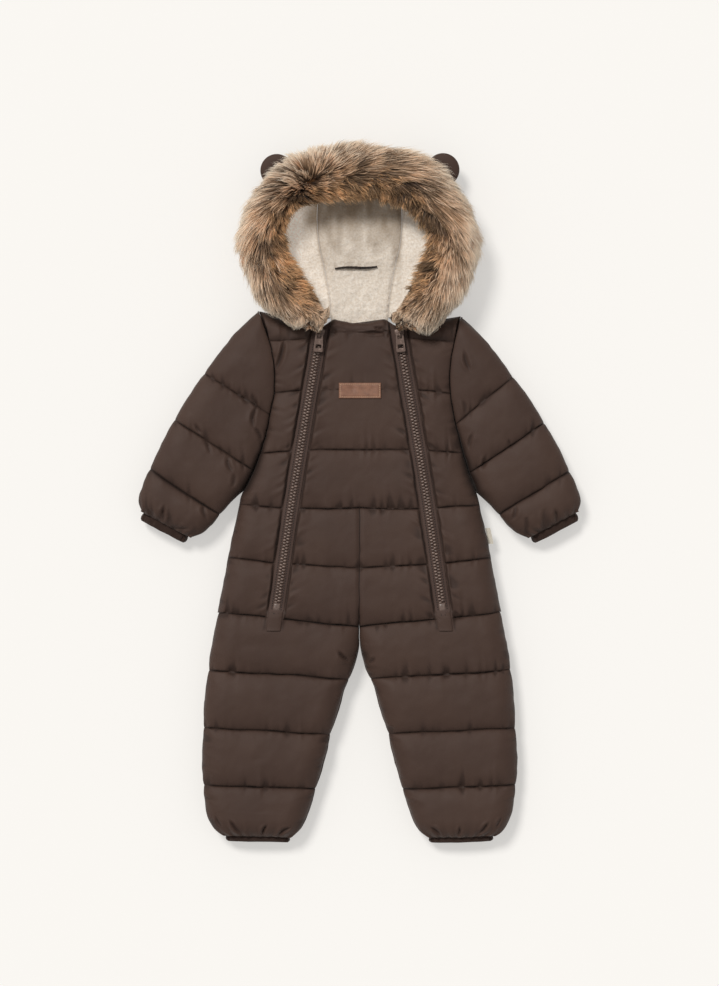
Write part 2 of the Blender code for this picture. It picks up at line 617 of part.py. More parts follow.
def hood(collection):
    slack = 0.012
    strip_u = np.linspace(0.0, 1.0 - slack, 4)
    strip_v = np.array([0.0, 0.2, 0.4, 0.56, 0.64, 0.7, 0.76, 0.82, 0.88, 0.94, 1.0])
    side_u = 1.0 + np.array([slack, 0.12, 0.28, 0.44, 0.6, 0.76, 0.9, 1.0])
    side_v = np.array([0.055, 0.12, 0.2, 0.3, 0.4, 0.5, 0.58, 0.66, 0.74, 0.82, 0.88, SIDE_PIECE_END])
    for part, near, far, finish in (
        ("hood", -GAP / 2, -GAP / 2 - SHELL, "shell_fabric"),
        ("lining", GAP / 2, GAP / 2 + LINING, "pile_lining"),
    ):
        hood_piece(f"{part}_centre", strip_u, strip_v, near, far, finish, collection, both=True)
        for label, side in SIDES.items():
            hood_piece(f"{part}_side_{label}", side_u, side_v, near, far, finish, collection, mirror=side)


def fur_trim(collection):
    """The trim as one soft tube round the rim, with an arch over it, out to the reach of its hairs."""
    reach = FUR[-1][0]
    count = int(2 * reach / FUR_STEP)
    rings = []
    for n in range(count + 1):
        angle = -reach + 2 * reach * n / count
        side, turn = (LEFT, -angle) if angle < 0 else (RIGHT, angle)
        own = 1 if side == LEFT else 3
        lock = FUR_LOCK * (1 if n % 2 else -1)
        inner = float(smooth(FUR, own, turn)) - lock * 0.5
        outer = float(smooth(FUR, own + 1, turn)) + lock
        low, top = float(smooth(FUR, 5, turn)), float(smooth(FUR, 6, turn)) + lock * 0.6
        rim = float(smooth(RIM, 1, min(turn, RIM_START)))
        lip = min(48.8, low + 1.5)
        lip = max(lip, RIM_LEVEL + 0.8)
        over, under = rim + SHELL + 1.6, rim - LINING - 1.8
        outside = max(outer - over, 6.0)
        inside = max(under - inner, 6.0)
        low = min(low, lip - 1.0)
        inner_low = max(37.0, low - 6.0) if turn > 120 else 37.0
        inner_low = min(inner_low, lip - 1.0)
        section = (
            (over, lip), (over + outside * 0.08, low + (lip - low) * 0.4), (over + outside * 0.35, low),
            (over + outside * 0.8, low + (top - low) * 0.1), (over + outside, low + (top - low) * 0.4),
            (over + outside * 0.8, low + (top - low) * 0.72), (over + outside * 0.3, low + (top - low) * 0.93),
            (rim, top), (under - inside * 0.35, low + (top - low) * 0.9),
            (under - inside * 0.85, inner_low + (top - inner_low) * 0.6),
            (under - inside, inner_low + (top - inner_low) * 0.28),
            (under - inside * 0.8, inner_low + 1.0), (under - inside * 0.25, inner_low),
            (under, lip),
        )
        spin = math.radians(angle)
        rings.append([(r * math.sin(spin), HOOD_MIDDLE + r * math.cos(spin), z) for r, z in section])
    loft("fur_trim", rings, "fur", collection, smooth_angle=60.0)


def ear(label, collection):
    """A padded ear: a round end and a straight root that runs in to the hood under the fur."""
    x, y = EAR_PLACES[label]
    inwards = Vector((-x, HOOD_MIDDLE - y)).normalized()
    across = Vector((-inwards.y, inwards.x))
    reach = math.hypot(x, y - HOOD_MIDDLE)
    root = reach - (float(smooth(RIM, 1, math.degrees(math.atan2(abs(x), y - HOOD_MIDDLE)))) + EAR["gap"])
    radius, thick = EAR["radius"], EAR["thick"]
    outline = [(-radius * math.cos(a), radius * math.sin(a)) for a in np.linspace(-math.pi / 2, math.pi / 2, 13)]
    outline = outline + [(root * 0.5, radius * 0.93), (root, EAR["root"]), (root, -EAR["root"]), (root * 0.5, -radius * 0.93)]
    rings = []
    for size, lift in ((0.72, 0.0), (0.92, 0.12), (1.0, 0.38), (1.0, 0.62), (0.92, 0.88), (0.72, 1.0)):
        ring = []
        for along, sideways in outline:
            deep = along if along > root * 0.9 else along * size
            place = Vector((x, y)) + inwards * deep + across * sideways * size
            ring.append((place.x, place.y, EAR["low"] + thick * lift))
        rings.append(ring)
    loft(f"ear_{label}", rings, "shell_fabric", collection, smooth_angle=50.0)


# Zips and small pieces ------------------------------------------------------------------------------------


def surface_of(objects):
    """A search tree over the faces of several objects."""
    points, faces = [], []
    for item in objects:
        start = len(points)
        points += [item.matrix_world @ vertex.co for vertex in item.data.vertices]
        faces += [tuple(start + i for i in polygon.vertices) for polygon in item.data.polygons]
    return BVHTree.FromPolygons(points, faces)


def level_on(tree, x, y):
    """Level in millimetres of the highest face at a place, or None off the pieces."""
    hit = tree.ray_cast(Vector((x * MM, y * MM, 0.2)), Vector((0.0, 0.0, -1.0)))[0]
    return None if hit is None else hit.z / MM


def rest_level(tree, x, y, spread=1.2):
    """Highest level close to a place, so that a piece laid there stays clear of the facets."""
    found = [level_on(tree, x + dx, y + dy) for dx in (-spread, 0, spread) for dy in (-spread, 0, spread)]
    return max(level for level in found if level is not None)


def zip_strip(label, side, tree, collection):
    """Tape and chain in the recess, then the bottom stop and the patch that covers the zip's end."""
    stations = list(np.linspace(ZIP_TOP, CHAIN_END + 1.0, 26))
    kinds = [(y, TAPE, CHAIN) for y in stations]
    kinds += [(CHAIN_END, TAPE, STOP), (STOP_END + 0.6, TAPE, STOP)]
    kinds += [(y, END_PATCH, END_PATCH) for y in np.linspace(STOP_END, TAPE_END, 6)]
    rings = []
    for y, tape, chain in kinds:
        middle = float(zip_edge(y))
        half, ridge = tape["half"], min(chain["half"], tape["half"] - 1.5)
        columns = (-half, -ridge - 0.4, -ridge, ridge, ridge + 0.4, half)
        floors = [rest_level(tree, side * (middle + d), y) + GAP for d in columns]
        tops = (tape["thick"], tape["thick"], chain["thick"], chain["thick"], tape["thick"], tape["thick"])
        top = [(side * (middle + d), y, z + t) for d, z, t in zip(columns, floors, tops)]
        below = [(side * (middle + d), y, z) for d, z in zip(columns, floors)]
        rings.append(top + below[::-1])
    return loft(f"zip_{label}", rings, "zip", collection)


def slider_frame(side, tree):
    """Place of a slider on its chain: middle of the chain, level of its top, and its lean about +Z."""
    x = side * float(zip_edge(SLIDER_AT))
    level = max(level_on(tree, x, SLIDER_AT + d) for d in (-6.0, 0.0, 6.0))
    lean = math.atan2(float(zip_edge(SLIDER_AT - 20.0) - zip_edge(SLIDER_AT)), 20.0)
    return x, level, side * lean


def slider(label, place, parts, cutters):
    """The slider's body with the arch that holds the pull tab, joined by a union."""
    x, level, lean = place
    low = level + GAP
    length, thick = SLIDER["length"], SLIDER["thick"]
    nose, tail = SLIDER["nose"] / 2, SLIDER["tail"] / 2
    rings = []
    for size, z in ((0.93, 0.0), (1.0, 0.6), (1.0, thick - 0.7), (0.86, thick)):
        rings.append([
            (-nose * size, length / 2 * size, z), (-nose * 0.5, length / 2 * size + 1.0, z),
            (nose * 0.5, length / 2 * size + 1.0, z), (nose * size, length / 2 * size, z),
            (nose * size, length * 0.1, z), (tail * size, -length * 0.15, z), (tail * size, -length / 2 * size, z),
            (-tail * size, -length / 2 * size, z), (-tail * size, -length * 0.15, z), (-nose * size, length * 0.1, z),
        ])
    body = loft(f"slider_{label}", rings, "zip_hardware", parts)
    arch = []
    corners = ((ARCH["inner"], -1), (ARCH["outer"], -1), (ARCH["outer"], 1), (ARCH["inner"], 1))
    foot = -AXIS_LIFT - 0.8
    turns = [(0.0, foot)] + [(turn, 0.0) for turn in np.linspace(0.0, math.pi, 11)] + [(math.pi, foot)]
    for turn, down in turns:
        arch.append([
            (half * ARCH["width"] / 2, radius * math.cos(turn), thick + AXIS_LIFT + radius * math.sin(turn) + down)
            for radius, half in corners
        ])
    hoop = loft(f"arch_{label}", arch, "zip_hardware", cutters)
    for item in (body, hoop):
        item.location = (x * MM, SLIDER_AT * MM, low * MM)
        item.rotation_euler = (0.0, 0.0, lean)
    hoop.hide_render = True
    hoop.display_type = "WIRE"
    join = body.modifiers.new("arch", "BOOLEAN")
    join.operation = "UNION"
    join.object = hoop
    return low + thick + AXIS_LIFT


def pull_tab(label, place, axis_level, collection):
    """A flat tab with an eye round the slider's arch and a window at its end; its origin is on its axis."""
    x, _, lean = place
    curve = bpy.data.curves.new(f"pull_tab_{label}", "CURVE")
    curve.dimensions = "2D"
    curve.fill_mode = "BOTH"
    curve.extrude = TAB["thick"] / 2 * MM
    top, end, length = TAB["top"], TAB["end"], TAB["length"]
    corner = 1.6
    outline = [
        (-top, TAB["bar"]), (top, TAB["bar"]), (end, -length + corner), (end - corner * 0.3, -length + corner * 0.3),
        (end - corner, -length), (-end + corner, -length), (-end + corner * 0.3, -length + corner * 0.3),
        (-end, -length + corner),
    ]
    holes = [
        [(-h["half"], -h["start"]), (-h["half"], -h["end"]), (h["half"], -h["end"]), (h["half"], -h["start"])]
        for h in (TAB_EYE, TAB_WINDOW)
    ]
    for points in [outline] + holes:
        spline = curve.splines.new("POLY")
        spline.points.add(len(points) - 1)
        for point, (px, py) in zip(spline.points, points):
            point.co = (px * MM, py * MM, 0.0, 1.0)
        spline.use_cyclic_u = True
    curve.materials.append(material("zip_hardware"))
    tab = bpy.data.objects.new(f"pull_tab_{label}", curve)
    tab.location = (x * MM, SLIDER_AT * MM, axis_level * MM)
    tab.rotation_euler = (0.0, 0.0, lean * TAB_LEAN)
    collection.objects.link(tab)


def chest_patch(tree, collection):
    """A plain leather patch sewn on the chest, following the panel."""
    x0, y0 = CHEST_PATCH["middle"]
    rings = []
    for fy in np.linspace(0.5, -0.5, 4):
        y = y0 + CHEST_PATCH["height"] * fy
        xs = x0 + CHEST_PATCH["width"] * np.linspace(-0.5, 0.5, 7)
        floor = [rest_level(tree, x, y, 2.5) + GAP for x in xs]
        top = [(x, y, z + CHEST_PATCH["thick"]) for x, z in zip(xs, floor)]
        below = [(x, y, z) for x, z in zip(xs, floor)]
        rings.append(top + below[::-1])
    loft("chest_patch", rings, "leather", collection)


def hanger_loop(tree, collection):
    """A cord loop sewn across the back of the neck inside the hood."""
    curve = bpy.data.curves.new("hanger_loop", "CURVE")
    curve.dimensions = "3D"
    curve.bevel_depth = LOOP["radius"] * MM
    curve.bevel_resolution = 2
    curve.use_fill_caps = True
    spline = curve.splines.new("POLY")
    count = 9
    spline.points.add(count - 1)
    for n, point in enumerate(spline.points):
        f = n / (count - 1)
        x = LOOP["start"][0] + (LOOP["end"][0] - LOOP["start"][0]) * f
        y = LOOP["start"][1] + (LOOP["end"][1] - LOOP["start"][1]) * f + 0.8 * math.sin(2 * math.pi * f)
        z = rest_level(tree, x, y, 2.0) + GAP + LOOP["radius"] + LOOP["rise"] * math.sin(math.pi * f)
        point.co = (x * MM, y * MM, z * MM, 1.0)
    curve.materials.append(material("loop"))
    collection.objects.link(bpy.data.objects.new("hanger_loop", curve))


def side_label(collection):
    """A blank folded label that stands out of the right side seam."""
    low, high = MIDDLE - SIDE_LABEL["thick"] / 2, MIDDLE + SIDE_LABEL["thick"] / 2
    rings = []
    for y in SIDE_LABEL["y"]:
        seam = float(side_edge(np.array(y), RIGHT)) + GAP
        end = seam + SIDE_LABEL["reach"]
        rings.append([(seam, y, low), (end, y, low), (end, y, high), (seam, y, high)])
    loft("side_label_right", rings, "label", collection)


def front(collection):
    """All front pieces of the body. Returns them, so that zips and the patch can be laid on them."""
    rows = BODY_LINES
    made = [centre_piece(collection)]
    for label, side in SIDES.items():
        shoulder = float(smooth(TOP_EDGE, column_of(side), 121.0))
        lines = [(197.0, shoulder, 0.01)]
        lines += [(rows[n][1], rows[n][0], rows[n][3]) for n in ("yoke", "chest", "midriff", "waist", "hip", "seat")]

        def outer(y, side=side):
            return side_edge(np.array(y), side)

        def top(x, side=side):
            return smooth(TOP_EDGE, column_of(side), x)

        made.append(front_piece(
            f"front_side_{label}", side, lines, lambda y: zip_edge(y) + GAP / 2, outer, side_columns, collection,
            edge=top,
        ))
        lines = [(rows[n][2], rows[n][1], rows[n][4]) for n in ("waist", "hip", "seat")]
        made.append(front_piece(
            f"front_lower_{label}", side, lines, lambda y: GAP / 2, lambda y: zip_edge(y) - GAP / 2,
            lower_columns, collection,
        ))
        lines = [(rows[n][2], rows[n][0], rows[n][3]) for n in ("seat", "thigh", "knee", "shin", "ankle")]
        made.append(front_piece(
            f"leg_front_{label}", side, lines, inner_leg, outer, leg_columns, collection,
            draw_in=(NOTCH * 0.6, NOTCH),
        ))
    return made


def main():
    for item in list(bpy.data.objects):
        bpy.data.objects.remove(item)
    parts = bpy.data.collections.new("baby_snowsuit")
    cutters = bpy.data.collections.new("cutters")
    for collection in (parts, cutters):
        bpy.context.scene.collection.children.link(collection)
    fronts = front(parts)
    for label, side in SIDES.items():
        back_piece(f"back_{label}", side, parts)
        sleeve_pieces(label, side, parts)
        bands(label, side, parts)
    hood(parts)
    fur_trim(parts)
    on_front = surface_of(fronts)
    for label, side in SIDES.items():
        ear(label, parts)
        strip = zip_strip(label, side, on_front, parts)
        place = slider_frame(side, surface_of([strip]))
        axis_level = slider(label, place, parts, cutters)
        pull_tab(label, place, axis_level, parts)
    chest_patch(on_front, parts)
    hanger_loop(surface_of([bpy.data.objects["lining_centre"]]), parts)
    side_label(parts)


main()
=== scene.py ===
"""A padded baby snowsuit with a fur-trimmed hood, laid flat and seen from above.

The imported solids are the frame. Each soft piece here is a finer copy of one of them, worked out from the
same tables, with its quilting, puckers, creases, pile and fur. Tables and sizes are in millimetres, and left
is -X.
"""
import math

import bmesh
import bpy
import numpy as np
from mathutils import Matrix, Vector
from mathutils.bvhtree import BVHTree


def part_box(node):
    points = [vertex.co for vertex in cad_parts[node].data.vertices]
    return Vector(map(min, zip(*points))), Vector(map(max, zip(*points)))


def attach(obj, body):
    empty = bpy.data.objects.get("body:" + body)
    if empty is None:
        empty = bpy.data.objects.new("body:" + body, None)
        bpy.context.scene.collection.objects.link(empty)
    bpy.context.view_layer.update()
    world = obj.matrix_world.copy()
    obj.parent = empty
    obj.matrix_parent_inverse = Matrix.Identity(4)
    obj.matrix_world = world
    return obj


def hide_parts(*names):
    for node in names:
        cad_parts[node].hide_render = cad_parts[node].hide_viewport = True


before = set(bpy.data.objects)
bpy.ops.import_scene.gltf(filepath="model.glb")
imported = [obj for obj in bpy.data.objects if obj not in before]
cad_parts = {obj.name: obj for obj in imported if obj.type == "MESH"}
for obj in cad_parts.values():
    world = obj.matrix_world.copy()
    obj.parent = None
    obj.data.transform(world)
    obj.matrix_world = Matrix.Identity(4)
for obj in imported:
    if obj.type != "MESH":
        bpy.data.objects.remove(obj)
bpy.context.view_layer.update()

MM = 0.001
GAP = 0.3
SHARP_ANGLE = 55.0      # degrees between two faces from which their edge is drawn sharp
LEFT, RIGHT = -1, 1
SIDES = {"left": LEFT, "right": RIGHT}
BODY = "snowsuit"

# Thickness of the layers
MIDDLE = 20.0          # top of the back layer
EDGE = 2.5             # thickness of one layer at a side seam
EDGE_RADIUS = 27.0     # how far in from a side seam a layer reaches its full height
SEAM_LEVEL = MIDDLE + EDGE
UNDER = MIDDLE + GAP   # plain underside of every front piece
BAND_LEVEL = 26.5      # height of a front layer where it is gathered into a band
NOTCH = 2.0            # how far a quilting line draws the side seam in

# Half width at the side seam, from the underarm to the ankle: height along the body, half width
SIDE_SEAM = (
    (1.0, 140.7), (-21.6, 145.8), (-50.4, 152.4), (-98.4, 161.4), (-136.8, 169.2), (-175.2, 175.8),
    (-213.6, 182.4), (-252.0, 186.0), (-290.4, 188.4), (-328.8, 189.0), (-367.2, 186.0), (-386.4, 182.4),
    (-396.0, 178.2), (-405.6, 171.6), (-413.0, 162.0),
)
# Armhole seam: height along the body, distance from the middle on the left and on the right, and the
# seam's level
ARMHOLE = (
    (220.0, 121.2, 123.6, 32.0), (206.0, 116.3, 120.0, 33.0), (179.0, 107.4, 113.4, 34.0),
    (139.0, 101.2, 108.1, 33.5), (97.0, 106.0, 112.4, 31.5), (59.0, 116.0, 121.6, 28.5),
    (25.0, 128.0, 131.4, 25.0), (1.0, 140.0, 141.0, SEAM_LEVEL),
)
UNDERARM = 1.0
# Inside leg: height along the body, distance from the middle
INSEAM = (
    (-160.0, 0.15), (-185.0, 1.2), (-200.0, 4.8), (-214.0, 9.0), (-223.0, 12.6), (-233.0, 18.0),
    (-252.0, 22.8), (-290.0, 34.8), (-329.0, 45.0), (-367.0, 55.8), (-386.0, 63.0), (-396.0, 67.2),
    (-405.6, 73.2), (-413.0, 81.6),
)
# Top edge of the back: height at the middle of the neck, and at the shoulder, 121 mm out, on the left
# and right
BACK_NECK, SHOULDER_REACH, BACK_SHOULDER = 191.7, 121.0, (218.0, 212.0)
# Top edge of the front side panels: distance from the middle, height on the left and on the right
TOP_EDGE = (
    (0.0, 191.7, 191.7), (34.0, 194.5, 194.5), (52.0, 197.0, 197.0), (76.0, 202.5, 201.5),
    (100.0, 210.5, 206.5), (121.0, 218.0, 212.0),
)
# Neck edge of the front centre panel: distance from the middle, height
NECK_EDGE = ((0.0, 203.8), (14.0, 204.4), (24.0, 206.5), (31.0, 207.6), (36.0, 204.5), (48.0, 197.0))
NECK_RADIUS = 9.0
NECK_LEVEL = 31.0
# Zips: height along the body, distance of the chain from the middle
ZIP_LINE = ((210.0, 44.7), (165.5, 51.7), (78.0, 66.5), (-11.0, 80.9), (-102.0, 94.1), (-166.0, 103.2))
# Full height of the front at the middle of a channel: height along the body, level
CREST = (
    (220.0, 38.0), (120.0, 41.0), (0.0, 43.5), (-100.0, 44.5), (-200.0, 43.5), (-300.0, 42.0),
    (-413.0, 40.0),
)
# Quilting lines of the body: height at the side seam, at the zip, at the middle or the inside leg,
# depth of the line in the side pieces, depth in the middle pieces
BODY_LINES = {
    "yoke": (181.0, 186.0, 192.0, 3.5, 1.2),
    "chest": (120.0, 124.0, 123.6, 5.0, 1.4),
    "midriff": (48.0, 51.5, 51.6, 6.5, 5.5),
    "waist": (-14.2, -18.6, -18.6, 7.0, 6.5),
    "hip": (-77.8, -84.5, -89.4, 7.5, 6.5),
    "seat": (-143.0, -150.0, -160.2, 8.0, 8.0),
    "thigh": (-212.4, None, -222.8, 8.5, 8.5),
    "knee": (-281.4, None, -288.6, 8.5, 8.5),
    "shin": (-350.2, None, -354.4, 8.5, 8.5),
    "ankle": (-411.6, None, -412.8, 0.0, 0.0),
}
CENTRE_SEAM_DEPTH = 1.6
CENTRE_SEAM_WIDTH = 5.0

# Sleeves. Outer edge: height along the body, distance from the middle on the left and on the right
SLEEVE_OUTER = (
    (220.5, 120.0, 113.5), (195.6, 145.8, 139.8), (160.8, 174.6, 168.6), (122.4, 201.0, 197.4),
    (84.0, 225.0, 222.6), (45.6, 244.2, 243.0), (7.2, 261.0, 261.0), (-12.0, 265.8, 265.4),
    (-22.0, 263.4, 263.0),
)
# Underside of the sleeve, from the underarm to the cuff: height along the body, distance from the middle
SLEEVE_INNER = (
    (1.0, 141.0), (-12.0, 154.2), (-21.6, 162.6), (-31.2, 171.0), (-40.8, 179.4), (-50.4, 192.0),
    (-54.5, 203.4),
)
# Quilting lines: height at the outer edge on the left and right, at the inner edge on the left and
# right, and depth
SLEEVE_LINES = (
    (218.5, 211.0, 209.0, 203.0, 0.0),
    (142.8, 139.2, 93.6, 82.8, 7.0),
    (87.6, 83.4, 27.0, 24.0, 7.5),
    (27.6, 26.4, -26.0, -26.0, 7.5),
    (-21.6, -21.6, -54.0, -54.0, 0.0),
)
SLEEVE_CREST = (38.0, 40.0, 40.0, 39.0, 37.0)     # full height in each channel, shoulder to cuff
ARMHOLE_GAP = 0.35                                # half of the gap along the curved armhole seam

# Bands: length, depth along the limb, height, half height of the opening slit, count of gathers
CUFF = {"length": 61.0, "depth": 9.5, "height": 22.0, "slit": 1.6, "gathers": 14}
ANKLE = {"length": 76.0, "depth": 6.4, "height": 23.0, "slit": 1.6, "gathers": 16}
GATHER = 1.3                                      # height of the gathers beside a band

# Zips
RECESS = 6.0            # depth of the zip below the panels beside it
RECESS_FLOOR = 9.8      # half width of the recess floor
RECESS_TOP = 12.4       # half width at the top of its walls
ZIP_TOP, CHAIN_END, STOP_END, TAPE_END = 196.5, -132.0, -143.0, -164.5
TAPE_HALF = 9.0
TOOTH_PITCH = 3.7
SLIDER_AT = 189.0       # height along the body of the pull tab's axis
SLIDER = {"length": 13.0, "nose": 11.5, "tail": 8.6, "thick": 2.4}
TAB = {"length": 20.5, "top": 4.5, "end": 5.6, "thick": 1.6, "bar": 0.95}
TAB_EYE = {"half": 2.7, "start": 0.95, "end": 4.8}
TAB_WINDOW = {"half": 3.4, "start": 11.6, "end": 16.2}

# Hood. Places round its opening are an angle from the crown and a distance from HOOD_MIDDLE
HOOD_MIDDLE = 297.6
HOOD_BED = 10.15        # level of the sheet between shell and lining where the hood lies flat
RIM_LEVEL = 48.0
SHELL = 10.0            # thickness of the outer shell
LINING = 6.0            # thickness of the pile lining
HOOD_FLAT_END = 322.0   # height along the body where the crown starts to rise
RIM_START = 152.0       # angle of the rim's ends, beside the zips
RIM_END = 31.0          # angle where the centre strip meets the rim
SIDE_PIECE_END = 0.94   # share of the way from neck to crown where the side pieces end
NECK_GAP = 0.6          # gap between the hood and the back's neck edge
# Rim: angle from the crown, distance
RIM = (
    (0.0, 87.0), (20.0, 89.4), (40.0, 98.6), (60.0, 107.3), (80.0, 114.0), (90.0, 115.5), (100.0, 112.3),
    (120.0, 109.4), (135.0, 105.9), (152.0, 101.0),
)
# Seam between the centre strip and a side: height along the body, distance from the middle
HOOD_SEAM = ((191.7, 34.0), (230.0, 36.0), (265.0, 42.0), (300.0, 49.0), (330.0, 51.0), (384.0, 47.5))
# Fur trim: angle from the crown, inner and outer distance on the left, inner and outer on the right,
# level of its lowest outer hairs, level of its top
FUR = (
    (0.0, 51.6, 122.4, 51.6, 122.4, 15.0, 72.0),
    (20.0, 54.6, 126.0, 53.4, 122.4, 17.0, 72.0),
    (33.0, 60.0, 133.0, 56.5, 130.0, 36.5, 73.0),
    (40.0, 64.8, 136.8, 58.8, 134.4, 37.5, 73.0),
    (50.0, 74.0, 137.5, 64.0, 135.0, 37.5, 74.0),
    (58.0, 82.0, 138.0, 70.0, 135.6, 36.5, 74.0),
    (70.0, 88.0, 143.0, 75.0, 139.5, 17.0, 75.0),
    (80.0, 89.8, 147.6, 78.0, 142.8, 14.0, 75.0),
    (95.0, 85.8, 148.2, 79.2, 145.8, 14.0, 74.0),
    (110.0, 79.6, 141.6, 75.2, 141.0, 22.0, 72.0),
    (125.0, 76.6, 140.4, 75.6, 142.2, 36.0, 70.0),
    (140.0, 78.0, 129.6, 82.2, 135.6, 43.0, 67.0),
    (151.0, 88.0, 117.0, 88.0, 118.0, 46.5, 62.0),
    (155.5, 94.0, 110.0, 94.0, 110.0, 47.5, 57.0),
)
EAR = {"radius": 19.8, "thick": 9.0, "low": 25.0, "root": 14.0, "gap": 9.5}
EAR_PLACES = {"left": (-99.0, 386.4), "right": (100.0, 387.4)}

# Small pieces
CHEST_PATCH = {"width": 50.4, "height": 18.6, "thick": 1.5, "middle": (0.5, 122.4)}
LOOP = {"start": (-29.4, 269.4), "end": (21.0, 271.8), "radius": 1.5, "rise": 1.6}
SIDE_LABEL = {"reach": 6.0, "y": (-42.0, -61.0), "thick": 0.9}

# Creases pressed into the cloth: where each starts and ends, depth, half width, sideways bow
CREASES = (
    (-89.0, 183.0, -101.5, 146.0, 3.4, 2.6, -1.5),
    (-129.0, 119.0, -121.5, 101.0, 2.6, 2.4, 1.0),
    (-122.5, 103.0, -126.5, 78.0, 2.8, 2.4, 3.0),
    (-126.0, 80.0, -117.0, 62.0, 2.8, 2.2, -1.5),
    (-141.0, 118.0, -137.0, 108.0, 2.0, 1.6, 0.5),
    (-196.0, 83.0, -189.0, 71.0, 2.2, 1.8, 1.0),
    (-181.0, 62.0, -178.0, 47.0, 2.2, 1.8, 1.0),
    (-168.0, 58.0, -163.0, 46.0, 1.6, 1.5, 0.5),
    (-158.0, 44.0, -151.0, 24.0, 2.6, 2.2, 2.0),
    (-150.0, 24.0, -152.0, 6.0, 1.8, 2.2, -1.5),
    (-233.0, -14.0, -235.5, -36.0, 3.4, 2.4, 1.5),
    (-229.0, -43.0, -205.0, -43.5, 3.0, 2.2, -1.5),
    (-186.0, -11.0, -182.0, -34.0, 2.2, 2.4, 2.0),
    (-254.0, -16.0, -243.0, -32.0, 2.2, 2.0, 1.5),
    (125.5, 170.0, 133.5, 146.0, 2.4, 2.4, 1.5),
    (123.0, 112.0, 127.0, 92.0, 2.0, 2.2, -1.5),
    (137.0, 72.0, 131.0, 52.0, 2.2, 2.2, 2.0),
    (150.0, 46.0, 146.0, 28.0, 2.2, 2.2, -1.5),
    (178.0, 66.0, 183.0, 52.0, 1.8, 1.8, 1.0),
    (234.0, -18.0, 235.0, -38.0, 3.0, 2.4, -1.5),
    (207.5, -44.0, 229.0, -44.0, 3.0, 2.2, 1.5),
    (187.0, -14.0, 182.0, -34.0, 2.2, 2.4, -2.0),
    (-155.5, -392.0, -141.5, -409.0, 3.4, 1.9, 0.6),
    (-111.0, -397.0, -116.5, -410.0, 3.2, 1.7, 0.5),
    (-98.5, -410.0, -82.0, -399.0, 3.4, 1.9, -0.8),
    (-172.0, -386.0, -164.0, -401.0, 2.0, 1.7, 0.5),
    (154.5, -394.0, 143.0, -409.0, 3.2, 1.9, -0.6),
    (120.5, -398.0, 117.5, -410.0, 2.8, 1.7, -0.5),
    (98.0, -409.5, 85.0, -399.0, 3.2, 1.9, 0.8),
    (170.0, -388.0, 163.0, -401.0, 2.0, 1.7, -0.5),
    (-26.0, -188.5, -12.0, -202.0, 4.0, 2.2, 1.0),
    (19.0, -196.0, 8.0, -204.0, 2.4, 2.2, -0.8),
    (4.0, 192.0, 34.0, 192.8, 2.4, 1.6, 0.4),
    (16.0, 198.4, 30.0, 195.6, 2.0, 1.5, 0.4),
    (-36.0, 199.0, -26.0, 189.0, 1.8, 1.8, -0.8),
    (40.0, 198.0, 34.0, 184.0, 1.8, 1.8, 0.8),
)


def smooth(table, column, at):
    """A smooth curve through one column of a table, read at values of its first column."""
    rows = np.array(sorted(table), dtype=float)
    places, values = rows[:, 0], rows[:, column]
    slopes = np.gradient(values, places)
    at = np.clip(at, places[0], places[-1])
    i = np.clip(np.searchsorted(places, at) - 1, 0, len(places) - 2)
    step = places[i + 1] - places[i]
    f = (at - places[i]) / step
    start = (2 * f**3 - 3 * f**2 + 1) * values[i] + (f**3 - 2 * f**2 + f) * step * slopes[i]
    end = (3 * f**2 - 2 * f**3) * values[i + 1] + (f**3 - f**2) * step * slopes[i + 1]
    return start + end


def ramp(value, low, high):
    """0 below low and 1 above high, smooth between them; high may be the smaller one."""
    f = np.clip((value - low) / (high - low), 0.0, 1.0)
    return f * f * (3 - 2 * f)


def round_off(distance, radius):
    """The height of a round edge, 0 to 1, at a distance in from it."""
    f = np.clip(distance / radius, 0.0, 1.0)
    return np.sqrt(1 - (1 - f) ** 2)


def puff(phase):
    """How far a quilted channel swells, from 0 on its lines to 1 between them."""
    return (1 - np.abs(2 * (phase % 1.0) - 1) ** 2.6) ** 0.6


def column_of(side):
    return 1 if side == LEFT else 2


def noise(x, y, scale, seed):
    """Smooth noise from -1 to 1, with bumps about scale across."""
    grid = np.random.default_rng(seed).random((64, 64)) * 2 - 1
    u, v = np.broadcast_arrays(np.asarray(x, dtype=float) / scale, np.asarray(y, dtype=float) / scale)
    i, j = np.floor(u).astype(int), np.floor(v).astype(int)
    fu, fv = u - i, v - j
    fu, fv = fu * fu * (3 - 2 * fu), fv * fv * (3 - 2 * fv)
    low = grid[i % 64, j % 64] * (1 - fu) + grid[(i + 1) % 64, j % 64] * fu
    high = grid[i % 64, (j + 1) % 64] * (1 - fu) + grid[(i + 1) % 64, (j + 1) % 64] * fu
    return low * (1 - fv) + high * fv


def spread(count, ends=0.4):
    """Places from 0 to 1, closer together towards both ends."""
    t = np.linspace(0.0, 1.0, count)
    return (1 - ends) * t + ends * (0.5 - 0.5 * np.cos(math.pi * t))


# Meshes ---------------------------------------------------------------------------------------------------


def finish_piece(piece, finish, replaces=(), body=BODY):
    """Gives a piece its material and the body it rides on, and hides the solids it stands for.
    """
    piece.data.materials.clear()
    piece.data.materials.append(finish)
    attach(piece, body)
    if replaces:
        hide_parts(*replaces)
    return piece


